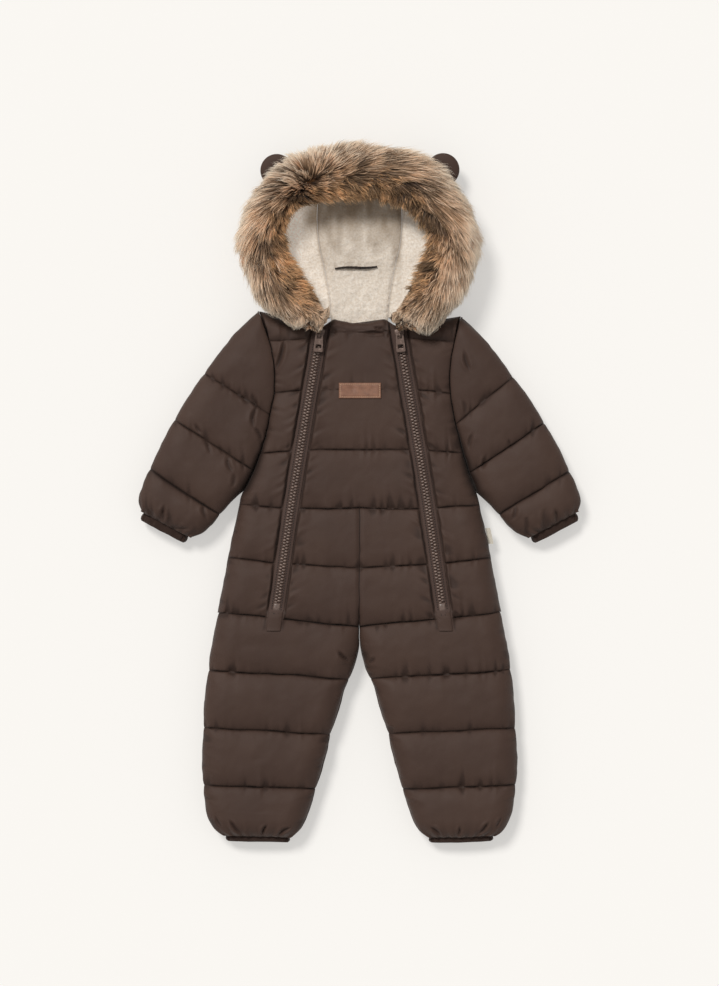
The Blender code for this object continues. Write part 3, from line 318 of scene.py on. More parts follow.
def mesh_piece(name, points, faces, values=None):
    """A mesh object from points in millimetres. values holds a number for each point of each attribute."""
    mesh = bpy.data.meshes.new(name)
    mesh.from_pydata((np.asarray(points, dtype=float) * MM).tolist(), [], faces)
    for key, numbers in (values or {}).items():
        layer = mesh.attributes.new(key, "FLOAT", "POINT")
        layer.data.foreach_set("value", np.asarray(numbers, dtype=np.float32))
    work = bmesh.new()
    work.from_mesh(mesh)
    bmesh.ops.recalc_face_normals(work, faces=work.faces)
    work.to_mesh(mesh)
    work.free()
    mesh.shade_smooth()
    mesh.set_sharp_from_angle(angle=math.radians(SHARP_ANGLE))
    piece = bpy.data.objects.new(name, mesh)
    bpy.context.scene.collection.objects.link(piece)
    return piece


def loft(name, rings, marks=None, closed=False):
    """A closed skin through rings of points of the same count. marks is each point's painted shade."""
    rings = np.asarray(rings, dtype=float)
    sections, count = rings.shape[:2]
    row = np.arange(sections if closed else sections - 1)[:, None]
    i = np.arange(count)[None, :]
    after, j = (row + 1) % sections, (i + 1) % count
    corners = [row * count + i, row * count + j, after * count + j, after * count + i]
    faces = np.stack(corners, -1).reshape(-1, 4)
    faces = faces.tolist()
    if not closed:
        faces += [list(range(count)), [(sections - 1) * count + n for n in range(count)]]
    values = None if marks is None else {"painted_shade": np.asarray(marks, dtype=float).reshape(-1)}
    return mesh_piece(name, rings.reshape(-1, 3), faces, values)


def tube(name, points, radius, sides):
    """A round cord through points, with its ends closed. radius may have one value for each point."""
    points = np.asarray(points, dtype=float)
    radii = np.broadcast_to(np.asarray(radius, dtype=float), len(points))
    along = np.gradient(points, axis=0)
    along /= np.linalg.norm(along, axis=1, keepdims=True)
    across = np.cross(along, (0.0, 0.0, 1.0))
    across /= np.maximum(np.linalg.norm(across, axis=1, keepdims=True), 1e-6)
    up = np.cross(across, along)
    turn = np.linspace(0, 2 * math.pi, sides, endpoint=False)
    rings = [
        p + r * (a * np.cos(turn)[:, None] + u * np.sin(turn)[:, None])
        for p, r, a, u in zip(points, radii, across, up)
    ]
    return loft(name, rings)


# The form of the body -------------------------------------------------------------------------------------


def side_edge(y, side):
    """Distance from the middle to the armhole seam or, below the underarm, to the side seam."""
    armhole = smooth(ARMHOLE, column_of(side), y) - ARMHOLE_GAP
    return np.where(y >= UNDERARM, armhole, smooth(SIDE_SEAM, 1, y))


def back_edge(x, side):
    """Height of the back's straight top edge at a distance from the middle."""
    return BACK_NECK + (BACK_SHOULDER[column_of(side) - 1] - BACK_NECK) * x / SHOULDER_REACH


def side_level(y):
    return np.where(y >= UNDERARM, smooth(ARMHOLE, 3, y), SEAM_LEVEL)


def zip_edge(y):
    return smooth(ZIP_LINE, 1, y)


def inner_leg(y):
    return smooth(INSEAM, 1, y)


def plain_height(x, y, side):
    """Level of the front, without quilting or zips, at a distance x from the middle."""
    crest = smooth(CREST, 1, y)
    level = side_level(y) + (crest - side_level(y)) * round_off(side_edge(y, side) - x, EDGE_RADIUS)
    to_top = round_off(smooth(TOP_EDGE, column_of(side), x) - y, EDGE_RADIUS)
    shoulder = ramp(x, 58.0, 85.0)
    level = SEAM_LEVEL + (level - SEAM_LEVEL) * (1 - shoulder * (1 - to_top))
    crotch = ramp(y, -125.0, -200.0)
    level = SEAM_LEVEL + (level - SEAM_LEVEL) * (1 - crotch * (1 - round_off(x - inner_leg(y), EDGE_RADIUS)))
    to_band = round_off(y + 413.0, 22.0)
    return np.minimum(level, BAND_LEVEL + (level - BAND_LEVEL) * to_band)


def zip_floor(y, side):
    """Level of the recess that holds the zip, with its shallow end under the reinforcing patch."""
    depth = RECESS - (RECESS - 1.5) * ramp(y, -132.0, -150.0)
    return plain_height(zip_edge(y), y, side) - depth


def creases(x, y):
    """Depth of the creases at places in the plane, and the painted shade in them."""
    depth, dark = np.zeros(np.shape(x)), np.zeros(np.shape(x))
    for x0, y0, x1, y1, deep, half, bow in CREASES:
        length = math.hypot(x1 - x0, y1 - y0)
        along = ((x - x0) * (x1 - x0) + (y - y0) * (y1 - y0)) / length**2
        off = ((x - x0) * (y1 - y0) - (y - y0) * (x1 - x0)) / length
        off = off - bow * (1 - (2 * along - 1) ** 2)
        taper = ramp(along, -0.1, 0.35) * ramp(along, 1.1, 0.65)
        wide = half * (0.45 + 0.55 * taper)
        ridge = np.exp(-(((off - 1.9 * wide) / wide) ** 2))
        ridge = ridge + 0.5 * np.exp(-(((off + 1.9 * wide) / wide) ** 2))
        depth += deep * taper * (np.exp(-((off / wide) ** 2)) - 0.45 * ridge)
        # Painted shade along the middle of each crease.
        dark = np.maximum(dark, 0.8 * taper * min(1.0, deep / 2.8) * np.exp(-((off / (0.55 * wide)) ** 2)))
    return depth, dark


def ripple(x, y, to_line, seed):
    """Small puckers that a quilting line draws, most of them above it, and the padding's soft unevenness.

    Returns a height and the painted shade in the puckers' folds.
    """
    run = noise(x, seed * 7.3, 4.4, seed) + 0.6 * noise(x, seed * 3.1, 9.5, seed + 1)
    come_and_go = 0.3 + 0.9 * ramp(noise(x, seed * 9.1, 26.0, seed + 3), -0.45, 0.55)
    reach = np.where(to_line > 0, 6.5, 3.0) * (1 + 0.6 * noise(x, seed * 5.7, 7.0, seed + 2))
    near = np.abs(to_line)
    drawn = np.exp(-near / np.maximum(reach, 1.2)) * (1 - np.exp(-near / 0.9)) * come_and_go
    soft = 0.7 * noise(x, y, 31.0, 11) + 0.4 * noise(x, y, 14.0, 12) + 0.16 * noise(x, y, 6.5, 13)
    # Painted shade in the troughs of the puckers.
    fold_shade = np.clip(-run * drawn * 3.0 - 0.2, 0.0, 0.5)
    return 3.0 * run * drawn + soft, fold_shade


def line_shade(x, to_line, depth, seed):
    """Painted shade along a quilting line: thin, and uneven along its length."""
    strength = 0.85 + 0.35 * noise(x, seed * 2.9, 13.0, seed + 4)
    wide = 1.2 + 0.5 * noise(x, seed * 4.3, 8.0, seed + 5)
    return min(1.0, depth / 5.0) * strength * np.exp(-(((to_line - 0.2) / wide) ** 2))


def settle(rings):
    """Moves cloth a little in the plane, the same way in pieces that meet, as real sewing wavers."""
    x, y = rings[..., 0].copy(), rings[..., 1].copy()
    rings[..., 0] += 0.45 * noise(x, y, 7.5, 43) + 0.5 * noise(x, y, 23.0, 44) * ramp(y, 190.0, 170.0)
    rings[..., 1] += (0.9 * noise(x, y, 37.0, 41) + 0.4 * noise(x, y, 12.0, 42)) * ramp(y, 192.0, 176.0)
    return rings


def front_height(x, y, side, swell, depth, to_line, seed):
    """Level and painted shade of the front at a distance x from the middle, in a channel of some swell."""
    level = plain_height(x, y, side)
    share = np.clip((level - SEAM_LEVEL) / (smooth(CREST, 1, y) - SEAM_LEVEL), 0.0, 1.0)
    pressed, dark = creases(side * x, y)
    level = level - depth * (1 - swell) * share
    puckers, fold_shade = ripple(side * x, y, to_line, seed)
    strength = min(1.0, depth / 4.0 + 0.25)
    by_zip = np.abs(x - zip_edge(y)) - RECESS_TOP
    drawn = np.exp(-by_zip / 6.0) * (1 - np.exp(-np.maximum(by_zip, 0.0) / 1.5)) * (by_zip > 0) * (y > -150)
    tugs = noise(y + 0.5 * x, side * 40.0, 5.5, 35) + 0.6 * noise(y - 0.4 * x, side * 30.0, 11.0, 36)
    tugs = tugs * drawn
    to_edge = side_edge(y, side) - x
    by_edge = np.maximum(np.minimum(to_edge, np.where(y < -180.0, x - inner_leg(y), 99.0)), 0.0)
    pinched = np.exp(-by_edge / 6.0) * (0.4 + 0.6 * ramp(noise(y, side * 50.0, 19.0, 45), -0.3, 0.4))
    tucks = (noise(y + 0.3 * by_edge, side * 60.0, 4.6, 46) + 0.5 * noise(y, side * 70.0, 8.0, 47)) * pinched
    level = level + (puckers * strength + 2.8 * tugs + 2.6 * tucks - pressed) * np.sqrt(share)
    # Painted shade in the folds of the puckers, tugs and tucks.
    dark = np.maximum(dark, np.maximum(fold_shade * strength, np.clip(-tugs * 3.0 - 0.25, 0.0, 0.5)))
    dark = np.maximum(dark, np.clip(-tucks * 2.6 - 0.25, 0.0, 0.5))
    seam = ramp(y, -10.0, -22.0) * ramp(y, -175.0, -150.0)
    level = level - CENTRE_SEAM_DEPTH * seam * (1 - ramp(x, 0.0, CENTRE_SEAM_WIDTH))
    beside = 1 - ramp(np.abs(x - zip_edge(y)), RECESS_FLOOR, RECESS_TOP)
    beside = beside * ramp(y, -167.0, -160.0)
    # Painted shade along the quilting lines and the centre seam.
    dark = np.maximum(dark, line_shade(side * x, to_line, depth, seed))
    dark = np.maximum(dark, 0.75 * seam * np.exp(-((x / 0.9) ** 2)))
    # Painted shade in the armpit hollow and along the armhole and side seam.
    in_armpit = ramp(y, 110.0, 40.0) * ramp(y, -12.0, 4.0)
    hollow = 3.5 + 4.0 * ramp(y, 70.0, 12.0)
    dark = np.maximum(dark, in_armpit * np.exp(-((np.maximum(to_edge, 0.0) / hollow) ** 2.2)))
    dark = np.maximum(dark, np.where(y < 0, 0.45, 0.7) * np.exp(-((to_edge / 1.0) ** 2)))
    # Painted shade on the walls of the zip's recess.
    wall = np.abs(x - zip_edge(y)) - (RECESS_FLOOR + RECESS_TOP) / 2
    wall = 0.6 * np.exp(-((wall / 1.3) ** 2)) * ramp(y, -167.0, -160.0)
    dark = np.maximum(np.clip(dark, 0.0, 1.0) * (1 - beside), wall)
    return level + (zip_floor(y, side) - level) * beside, dark


def rows_between(lines, phases):
    """Places of the sections, counted in channels from the first line to the last."""
    places = [n + phase for n in range(len(lines) - 1) for phase in phases]
    return places + [len(lines) - 1]


def line_values(lines, place):
    """Heights along the two edges, the nearest line's depth, swell, and the distance below that line."""
    n = min(int(place), len(lines) - 2)
    f = place - n
    heights = [a + (b - a) * f for a, b in zip(lines[n][:-1], lines[n + 1][:-1])]
    depth = lines[n][-1] if f < 0.5 else lines[n + 1][-1]
    tall = abs(lines[n + 1][0] - lines[n][0])
    to_line = -f * tall if f < 0.5 else (1 - f) * tall
    return heights, depth, float(puff(f)) if 0 < f < 1 else 0.0, to_line


def phases_for(tall, step=1.5):
    return spread(max(3, round(tall / step)) + 1)[:-1]


def front_piece(name, side, lines, near, far, columns, seed, draw_in=(0.0, 0.0), edge=None):
    """A padded front piece: quilted on top, plain underneath, one section for each row between its lines.

    near and far give the distance of its two edges from the middle, and columns the places of its points
    between them, in millimetres from the near edge. draw_in is how far a line draws each edge in.
    """
    rings, marks = [], []
    places = rows_between(lines, phases_for(68.0))
    for place in places:
        (near_y, far_y), depth, swell, to_line = line_values(lines, place)
        trim = GAP / 2 if place == places[0] else -GAP / 2 if place == places[-1] else 0.0
        near_y, far_y = near_y - trim, far_y - trim
        start = float(near(near_y)) + draw_in[0] * (1 - swell)
        end = float(far(far_y)) - draw_in[1] * (1 - swell)
        fractions = columns(end - start) / (end - start)
        x = start + (end - start) * fractions
        y = near_y + (far_y - near_y) * fractions
        if edge is not None and place < 1:
            y = y + (edge(x) - near_y - (far_y - near_y) * fractions) * (1 - place)
        z, dark = front_height(x, y, side, swell, depth, to_line, seed + round(place))
        if lines[-1][-1] == 0.0 and place > len(lines) - 1.5:
            gather = np.exp(-(len(lines) - 1 - place) * 60.0 / 7.0)
            pleats = np.cos(2 * math.pi * (fractions * ANKLE["gathers"] / 2 + 0.25 * noise(x, 0.0, 9.0, 21)))
            z = z + GATHER * pleats * gather
            # Painted shade in the troughs of the gathers beside the ankle band.
            dark = np.maximum(dark, 0.45 * gather * np.clip(-pleats, 0, 1))
        top = np.stack([side * x, y, z], axis=1)
        below = [(side * x[-1], y[-1], UNDER), (side * x[0], y[0], UNDER)]
        rings.append(np.vstack([top, below]))
        marks.append(np.concatenate([dark, [0.0, 0.0]]))
    return loft(name, settle(np.array(rings)), marks)


RECESS_STOPS = np.array([
    0.0, 2.5, 5.0, 7.5, 9.0, RECESS_FLOOR, 10.6, 11.5, RECESS_TOP, 13.4, 14.6, 15.8, 17.0,
])


def side_columns(width):
    """Points of a side panel: down into the zip's recess, then out to the armhole or the side seam."""
    t = np.linspace(0.0, 1.0, 52)[1:]
    return np.concatenate([RECESS_STOPS, 17.0 + (width - 17.0) * (1 - (1 - t) ** 1.4)])


def lower_columns(width):
    """Points of a lower panel: from the centre seam to the zip's recess."""
    stops = np.concatenate([[0.0, 0.7, 1.5, 2.6, 4.0], 4.0 + (width - 21.0) * np.linspace(0.0, 1.0, 48)[1:]])
    return np.concatenate([stops, width - RECESS_STOPS[::-1][1:]])


def leg_columns(width):
    return width * spread(100, 0.5)


def centre_piece():
    """The panel between the zips, from its free neck edge to the waist seam."""
    names = ("yoke", "chest", "midriff", "waist")
    lines = [(204.0, 0.0)] + [(BODY_LINES[n][2], BODY_LINES[n][4]) for n in names]
    rings, marks = [], []
    places = list(np.linspace(0.0, 1.0, 11)[:-1])
    places += [p for p in rows_between(lines, phases_for(68.0)) if p >= 1]
    for place in places:
        (y,), depth, swell, to_line = line_values(lines, place)
        y = y + GAP / 2 if place == places[-1] else y
        if place < 0.9:
            swell, to_line = 1.0, 30.0
        reach = float(zip_edge(y)) - GAP / 2
        half = np.concatenate([reach - RECESS_STOPS, (reach - 17.0) * np.linspace(1.0, 0.0, 44)[1:-1]])
        x = np.concatenate([-half, [0.0], half[::-1]])
        rows = np.full(len(x), y)
        if place < 1:
            rows = y + (smooth(NECK_EDGE, 1, np.abs(x)) - lines[0][0]) * (1 - place)
        left, dark_left = front_height(np.abs(x), rows, LEFT, swell, depth, to_line, 40 + round(place))
        right, dark_right = front_height(np.abs(x), rows, RIGHT, swell, depth, to_line, 40 + round(place))
        z = np.where(x < 0, left, right)
        neck = round_off(smooth(NECK_EDGE, 1, np.abs(x)) - rows, NECK_RADIUS)
        z = np.minimum(z, NECK_LEVEL + (z - NECK_LEVEL) * neck)
        near_edge = ramp(rows, 190.0, 201.0)
        z = z + 0.5 * near_edge * noise(x, 1.0, 5.5, 37)
        rows = rows + near_edge * (0.7 * noise(x, 2.0, 8.0, 38) + 0.3 * noise(x, 2.0, 4.0, 39))
        hem = np.exp(-(((smooth(NECK_EDGE, 1, np.abs(x)) - rows - 9.0) / 1.2) ** 2))
        hem = hem * ramp(np.abs(x), 40.0, 33.0)
        hem = hem * (0.35 + 0.4 * noise(x, 3.0, 16.0, 40))
        z = z - 0.7 * hem
        top = np.stack([x, rows, z], axis=1)
        below = [(x[-1], rows[-1], UNDER), (x[0], rows[0], UNDER)]
        rings.append(np.vstack([top, below]))
        # Painted shade in the pressed hem line below the neck edge.
        dark = np.maximum(np.where(x < 0, dark_left, dark_right), 0.45 * hem)
        marks.append(np.concatenate([dark, [0.0, 0.0]]))
    return loft("front_centre_cloth", settle(np.array(rings)), marks)


def under_profile(start, end, free_start, free_end, lift):
    """Section of a back piece: flat on top, flat where it rests, round at its free edges."""
    t = np.linspace(0.0, 1.0, 9)
    curve = np.stack([18.0 * t**2, (MIDDLE - EDGE) * (1 - t) ** 1.4], 1)
    out = [(start, MIDDLE), (end, MIDDLE)]
    out += [(end - d * free_end, z) for d, z in curve]
    out += [(start + d * free_start, z) for d, z in curve[::-1]]
    return [(d, max(z, lift) if z < MIDDLE - EDGE else z) for d, z in out]


def back_piece(label, side):
    """Half of the back with its leg, from the neck and shoulder to the ankle."""
    shoulder = back_edge(SHOULDER_REACH, side)
    lines = [(BACK_NECK, shoulder, 0.0)] + [(row[2], row[0], row[3]) for row in BODY_LINES.values()]
    rings, marks = [], []
    for place in rows_between(lines, phases_for(68.0, 3.0)):
        (near_y, far_y), depth, swell, to_line = line_values(lines, place)
        start = float(inner_leg(near_y)) if near_y < INSEAM[0][0] else 0.0
        free = float(ramp(near_y, -165.0, -215.0))
        draw = NOTCH * (1 - swell)
        start = start + (draw - 1.0) * free
        end = float(side_edge(np.array(far_y), side)) + (ARMHOLE_GAP if far_y >= UNDERARM else -draw)
        lift = 5.0 * (1 - float(round_off(near_y + 413.0, 14.0)))
        ring = []
        for x, z in under_profile(start, end, free, 1.0, lift):
            f = (x - start) / (end - start)
            side_face = 1.0 if 0.5 < z < MIDDLE - 1 else 0.0
            pull = side_face * (1.6 * (1 - swell) + 0.5 * float(noise(far_y, z, 6.0, 50 + side)))
            x = x - pull if f > 0.5 else x + pull * free
            ring.append((side * x, near_y + (far_y - near_y) * f, z))
        rings.append(ring)
        # Painted shade along the quilting lines.
        marks.append([float(math.exp(-(to_line**2))) * (depth > 0)] * len(ring))
    return loft(f"back_{label}_cloth", settle(np.array(rings)), marks)


# Sleeves --------------------------------------------------------------------------------------------------


def sleeve_inner(y, side):
    armhole = smooth(ARMHOLE, column_of(side), y) + ARMHOLE_GAP
    return np.where(y >= UNDERARM, armhole, smooth(SLEEVE_INNER, 1, y))


def sleeve_rows(side, step):
    """Ends of each section of a sleeve, with its place, depth, swell and distance from the nearest line."""
    own = 0 if side == LEFT else 1
    lines = [(row[2 + own], row[own], row[4]) for row in SLEEVE_LINES]
    for place in rows_between(lines, phases_for(64.0, step)):
        (inner_y, outer_y), depth, swell, to_line = line_values(lines, place)
        free = float(ramp(inner_y, UNDERARM, -14.0))
        draw = NOTCH * (1 - swell) * (1 if 0 < place < len(lines) - 1 else 0)
        inner = np.array([float(sleeve_inner(np.array(inner_y), side)) + draw * free, inner_y])
        outer = np.array([float(smooth(SLEEVE_OUTER, column_of(side), outer_y)) - draw, outer_y])
        yield place, inner, outer, depth, swell, free, to_line


def shoulder_fill(side, fractions, place):
    """Moves a sleeve's first sections over to the curved top of the armhole seam."""
    own = column_of(side)
    outer_y, inner_y = SLEEVE_LINES[0][own - 1], SLEEVE_LINES[0][own + 1]
    start, end = float(sleeve_inner(np.array(inner_y), side)), float(smooth(SLEEVE_OUTER, own, outer_y))
    y = inner_y + (outer_y - inner_y) * fractions
    return (smooth(ARMHOLE, own, y) + ARMHOLE_GAP - start - (end - start) * fractions) * ramp(place, 0.4, 0.0)


def sleeve_pieces(label, side):
    """The upper sleeve, quilted, and the under sleeve that it lies on."""
    last = len(SLEEVE_LINES) - 1
    fractions = spread(68, 0.5)
    rings, marks = [], []
    for place, inner, outer, depth, swell, free, to_line in sleeve_rows(side, 1.5):
        width = float(np.linalg.norm(outer - inner))
        xy = inner + (outer - inner) * fractions[:, None]
        xy[:, 0] += shoulder_fill(side, fractions, place)
        crest = float(np.interp(place, range(last + 1), SLEEVE_CREST))
        full = crest - SEAM_LEVEL
        held = (float(side_level(np.array(inner[1]))) - SEAM_LEVEL) / full
        from_inner = held + (1 - held) * round_off(width * fractions, EDGE_RADIUS)
        rise = full * from_inner * round_off(width * (1 - fractions), EDGE_RADIUS)
        pressed, dark = creases(side * xy[:, 0], xy[:, 1])
        seed = 60 + 7 * (side + 1) + round(place)
        puckers, fold_shade = ripple(xy[:, 0] * 1.1, xy[:, 1], to_line, seed)
        z = SEAM_LEVEL + rise - depth * (1 - swell) * rise / full + (puckers - pressed) * np.sqrt(rise / full)
        # Painted shade in the puckers' folds and along the quilting lines.
        dark = np.maximum(np.maximum(dark, fold_shade), line_shade(xy[:, 0], to_line, depth, seed))
        # Painted shade in the armpit hollow and along the sleeve's outer edge.
        in_armpit = ramp(xy[:, 1], 110.0, 40.0) * ramp(xy[:, 1], -12.0, 6.0)
        hollow = 3.0 + 4.0 * ramp(xy[:, 1], 70.0, 12.0)
        dark = np.maximum(dark, in_armpit * np.exp(-((width * fractions / hollow) ** 2.2)))
        dark = np.maximum(dark, 0.45 * np.exp(-((width * (1 - fractions) / 0.9) ** 2)))
        to_band = float(round_off((last - place) * 40.0, 20.0))
        z = np.minimum(z, BAND_LEVEL + (z - BAND_LEVEL) * to_band)
        gather = math.exp(-(last - place) * 55.0 / 7.0)
        pleats = np.cos(2 * math.pi * (fractions * CUFF["gathers"] / 2 + 0.2 * noise(xy[:, 0], 3.0, 9.0, 22)))
        z = z + GATHER * pleats * gather
        # Painted shade in the troughs of the gathers beside the cuff.
        dark = np.maximum(dark, 0.45 * gather * np.clip(-pleats, 0, 1))
        top = np.stack([side * xy[:, 0], xy[:, 1], z], axis=1)
        below = [(side * outer[0], outer[1], UNDER), (side * inner[0], inner[1], UNDER)]
        rings.append(np.vstack([top, below]))
        marks.append(np.concatenate([dark, [0.0, 0.0]]))
    upper = loft(f"sleeve_upper_{label}_cloth", settle(np.array(rings)), marks)
    rings, marks = [], []
    for place, inner, outer, depth, swell, free, to_line in sleeve_rows(side, 3.0):
        inner = inner - (ARMHOLE_GAP if inner[1] >= UNDERARM else 0.0, 0.0)
        width = float(np.linalg.norm(outer - inner))
        size = min(1.0, width / 45.0)
        lift = 5.0 * (1 - float(round_off((last - place) * 40.0, 14.0)))
        ring = []
        for d, z in under_profile(0.0, width, free * size, size, lift):
            side_face = 1.0 if 0.5 < z < MIDDLE - 1 else 0.0
            pull = side_face * (1.6 * (1 - swell) + 0.5 * float(noise(outer[1], z, 6.0, 54 + side)))
            f = (d - pull if d > width / 2 else d + pull * free) / width
            x, y = inner + (outer - inner) * f
            x = x + float(shoulder_fill(side, f, place))
            ring.append((side * x, y, z))
        rings.append(ring)
        # Painted shade along the quilting lines.
        marks.append([float(math.exp(-(to_line**2))) * (depth > 0)] * len(ring))
    return upper, loft(f"sleeve_under_{label}_cloth", settle(np.array(rings)), marks)


def band(name, start, end, away, size):
    """An elastic band gathered on the end of a limb: a flattened ring with its slit open outwards."""
    start, end, away = (np.asarray(v, dtype=float) for v in (start, end, away))
    along = (end - start) / np.linalg.norm(end - start)
    middle = (start + end) / 2
    half, tall, deep = size["length"] / 2, size["height"] / 2, size["depth"]
    level = tall + 3.0
    rings = []
    for n in range(size["gathers"] * 12):
        angle = 2 * math.pi * n / (size["gathers"] * 12)
        c, s = math.cos(angle), math.sin(angle)
        c, s = math.copysign(abs(c) ** 0.7, c), math.copysign(abs(s) ** 0.7, s)
        wave = 0.8 * math.cos(size["gathers"] * angle + 1.5 * float(noise(angle * 4, 0.0, 1.0, 31)))
        ring = []
        for a, b, depth in (
            (half, tall, GAP), (half + wave * 0.6, tall + wave * 0.6, deep * 0.2),
            (half + wave, tall + wave, deep * 0.5),
            (half - 0.5 + wave * 0.6, tall - 0.5 + wave * 0.6, deep * 0.8), (half - 2.0, tall - 2.0, deep),
            (half - 4.0, tall * 0.5, deep - 0.4), (half - 6.0, size["slit"], deep - 0.2),
            (half - 6.0, size["slit"], GAP),
        ):
            xy = middle + along * a * c + away * depth
            ring.append((xy[0], xy[1], level + b * s))
        rings.append(ring)
    return loft(name, settle(np.array(rings)), closed=True)


def bands(label, side):
    own = column_of(side)
    outer_y, inner_y = SLEEVE_LINES[-1][own - 1], SLEEVE_LINES[-1][own + 1]
    outer = np.array([side * float(smooth(SLEEVE_OUTER, own, outer_y)), outer_y])
    inner = np.array([side * float(sleeve_inner(np.array(inner_y), side)), inner_y])
    along = (inner - outer) / np.linalg.norm(inner - outer)
    away = np.array([along[1], -along[0]]) * (1 if side == LEFT else -1)
    cuff = band(f"cuff_band_{label}_cloth", outer, inner, away, CUFF)
    ankle = BODY_LINES["ankle"]
    outer = np.array([side * 161.0, ankle[0] - GAP])
    inner = np.array([side * 83.0, ankle[2] - GAP])
    return cuff, band(f"ankle_band_{label}_cloth", outer, inner, np.array([0.0, -1.0]), ANKLE)


# Hood -----------------------------------------------------------------------------------------------------


def rim_point(angle):
    """A point of the hood's rim at an angle from the crown, on the +X side."""
    reach = smooth(RIM, 1, angle)
    turn = np.radians(angle)
    levels = np.full_like(reach, RIM_LEVEL)
    return np.stack([reach * np.sin(turn), HOOD_MIDDLE + reach * np.cos(turn), levels], -1)


def rim_height_at(x):
    """Height along the body of the rim's crown part, at a distance from the middle."""
    points = rim_point(np.linspace(0.0, 60.0, 61))
    return np.interp(x, points[:, 0], points[:, 1])


def strip_point(across, v):
    """The hood's middle sheet in the centre strip: across is 0 at the middle and 1 at the seam."""
    flat = 0.62
    on_flat = np.clip(v / flat, 0.0, 1.0)
    turn = np.clip((v - flat) / (1 - flat), 0.0, 1.0) * math.pi / 2
    y_line = BACK_NECK + (HOOD_FLAT_END - BACK_NECK) * on_flat + (384.0 - HOOD_FLAT_END) * np.sin(turn)
    x = across * smooth(HOOD_SEAM, 1, y_line)
    neck = back_edge(x, LEFT) + NECK_GAP
    y = neck + (HOOD_FLAT_END - neck) * on_flat + (rim_height_at(x) - HOOD_FLAT_END) * np.sin(turn)
    z = HOOD_BED + (RIM_LEVEL - HOOD_BED) * (1 - np.cos(turn))
    return np.stack([x, y, z], -1)


def hood_point(u, v):
    """The hood's middle sheet: u is 0 at the middle, 1 at the seam and 2 at the rim; v runs neck to crown."""
    u, v = np.broadcast_arrays(np.asarray(u, dtype=float), np.asarray(v, dtype=float))
    strip = strip_point(np.clip(u, 0.0, 1.0), v)
    seam = strip_point(np.ones_like(u), v)
    rim = rim_point(RIM_START + (RIM_END - RIM_START) * v)
    turn = np.clip(u - 1.0, 0.0, 1.0)[..., None] * math.pi / 2
    side = seam + (rim - seam) * np.sin(turn)
    side[..., 2] = seam[..., 2] + (rim[..., 2] - seam[..., 2]) * (1 - np.cos(turn[..., 0]))
    return np.where((u > 1.0)[..., None], side, strip)


def hood_layer(u, v, mirror, offset):
    """Points of the hood at an offset from its middle sheet, inwards when positive."""
    step = 0.004
    u_low, u_high = np.where(u > 1.0, np.maximum(u - step, 1.0001), u - step), u + step
    along_u = hood_point(u_high, v) - hood_point(u_low, v)
    along_v = hood_point(u, np.minimum(v + step, 1.0)) - hood_point(u, np.maximum(v - step, 0.0))
    normal = np.cross(along_u, along_v)
    normal /= np.linalg.norm(normal, axis=-1, keepdims=True)
    made = hood_point(u, v) + normal * np.asarray(offset)[..., None]
    made[..., 0] *= mirror
    return made


def crown_shade(x, y):
    """Painted shade on the pile in the hollow under the crown, in uneven upright streaks, and along the
    seams.
    """
    under = 0.08 + 0.05 * ramp(y, 225.0, 260.0) + 0.27 * ramp(y, 250.0, 305.0) + 0.34 * ramp(y, 300.0, 338.0)
    across = ramp(x, -74.0, -56.0) * ramp(x, 55.0, 47.0)
    streaks = 0.16 * noise(x, y * 0.35, 6.0, 95) + 0.14 * noise(x, y, 15.0, 96)
    seam = np.exp(-(((np.abs(x) - smooth(HOOD_SEAM, 1, y)) / 1.3) ** 2))
    return np.clip((under + streaks * ramp(y, 240.0, 300.0)) * across + 0.4 * seam, 0.0, 0.85)


def hood_piece(name, u_values, v_values, near, far, relief, mirror=1.0, both=False):
    """A piece of the hood between two offsets from the middle sheet. relief moves the face that shows."""
    if both:
        u_values = np.concatenate([-u_values[::-1][:-1], u_values])
    coarse = u_values[:: max(1, len(u_values) // 8)]
    coarse = np.append(coarse, u_values[-1]) if coarse[-1] != u_values[-1] else coarse
    rings, marks = [], []
    for v in v_values:
        lines = []
        for line, offset in ((coarse, np.full(len(coarse), near)), (u_values, far + relief(u_values, v))):
            turned = hood_layer(np.abs(line), np.full(len(line), v), 1.0, offset)
            turned[:, 0] *= np.where(line < 0, -1.0, 1.0) * mirror
            lines.append(turned)
        rings.append(np.vstack([lines[0], lines[1][::-1]]))
        # Painted shade under the crown and along the seams, on the lining and the shell alike.
        marks.append(crown_shade(rings[-1][:, 0], rings[-1][:, 1]))
    return loft(name, rings, marks)


def pile_relief(seed):
    """Small curls all over the pile, which thin out into the seams between its pieces."""
    def relief(u, v):
        along, across = np.abs(u) * 52.0 + 7 * v, v * 250.0
        curls = noise(along, across, 4.4, seed) + 0.55 * noise(along, across, 2.3, seed + 1)
        swells = noise(along, across, 21.0, seed + 2)
        off_seam = np.minimum(np.abs(np.abs(u) - 1.0) * 52.0, 30.0)
        return 0.55 * curls + 0.8 * swells - 1.6 * np.exp(-((off_seam / 3.4) ** 2))
    return relief


def padding_relief(seed):
    """Soft unevenness of the padded shell."""
    def relief(u, v):
        off_seam = np.minimum(np.abs(np.abs(u) - 1.0) * 52.0, 30.0)
        return -0.5 * noise(u * 52.0, v * 250.0, 18.0, seed) + 2.2 * np.exp(-((off_seam / 4.0) ** 2))
    return relief


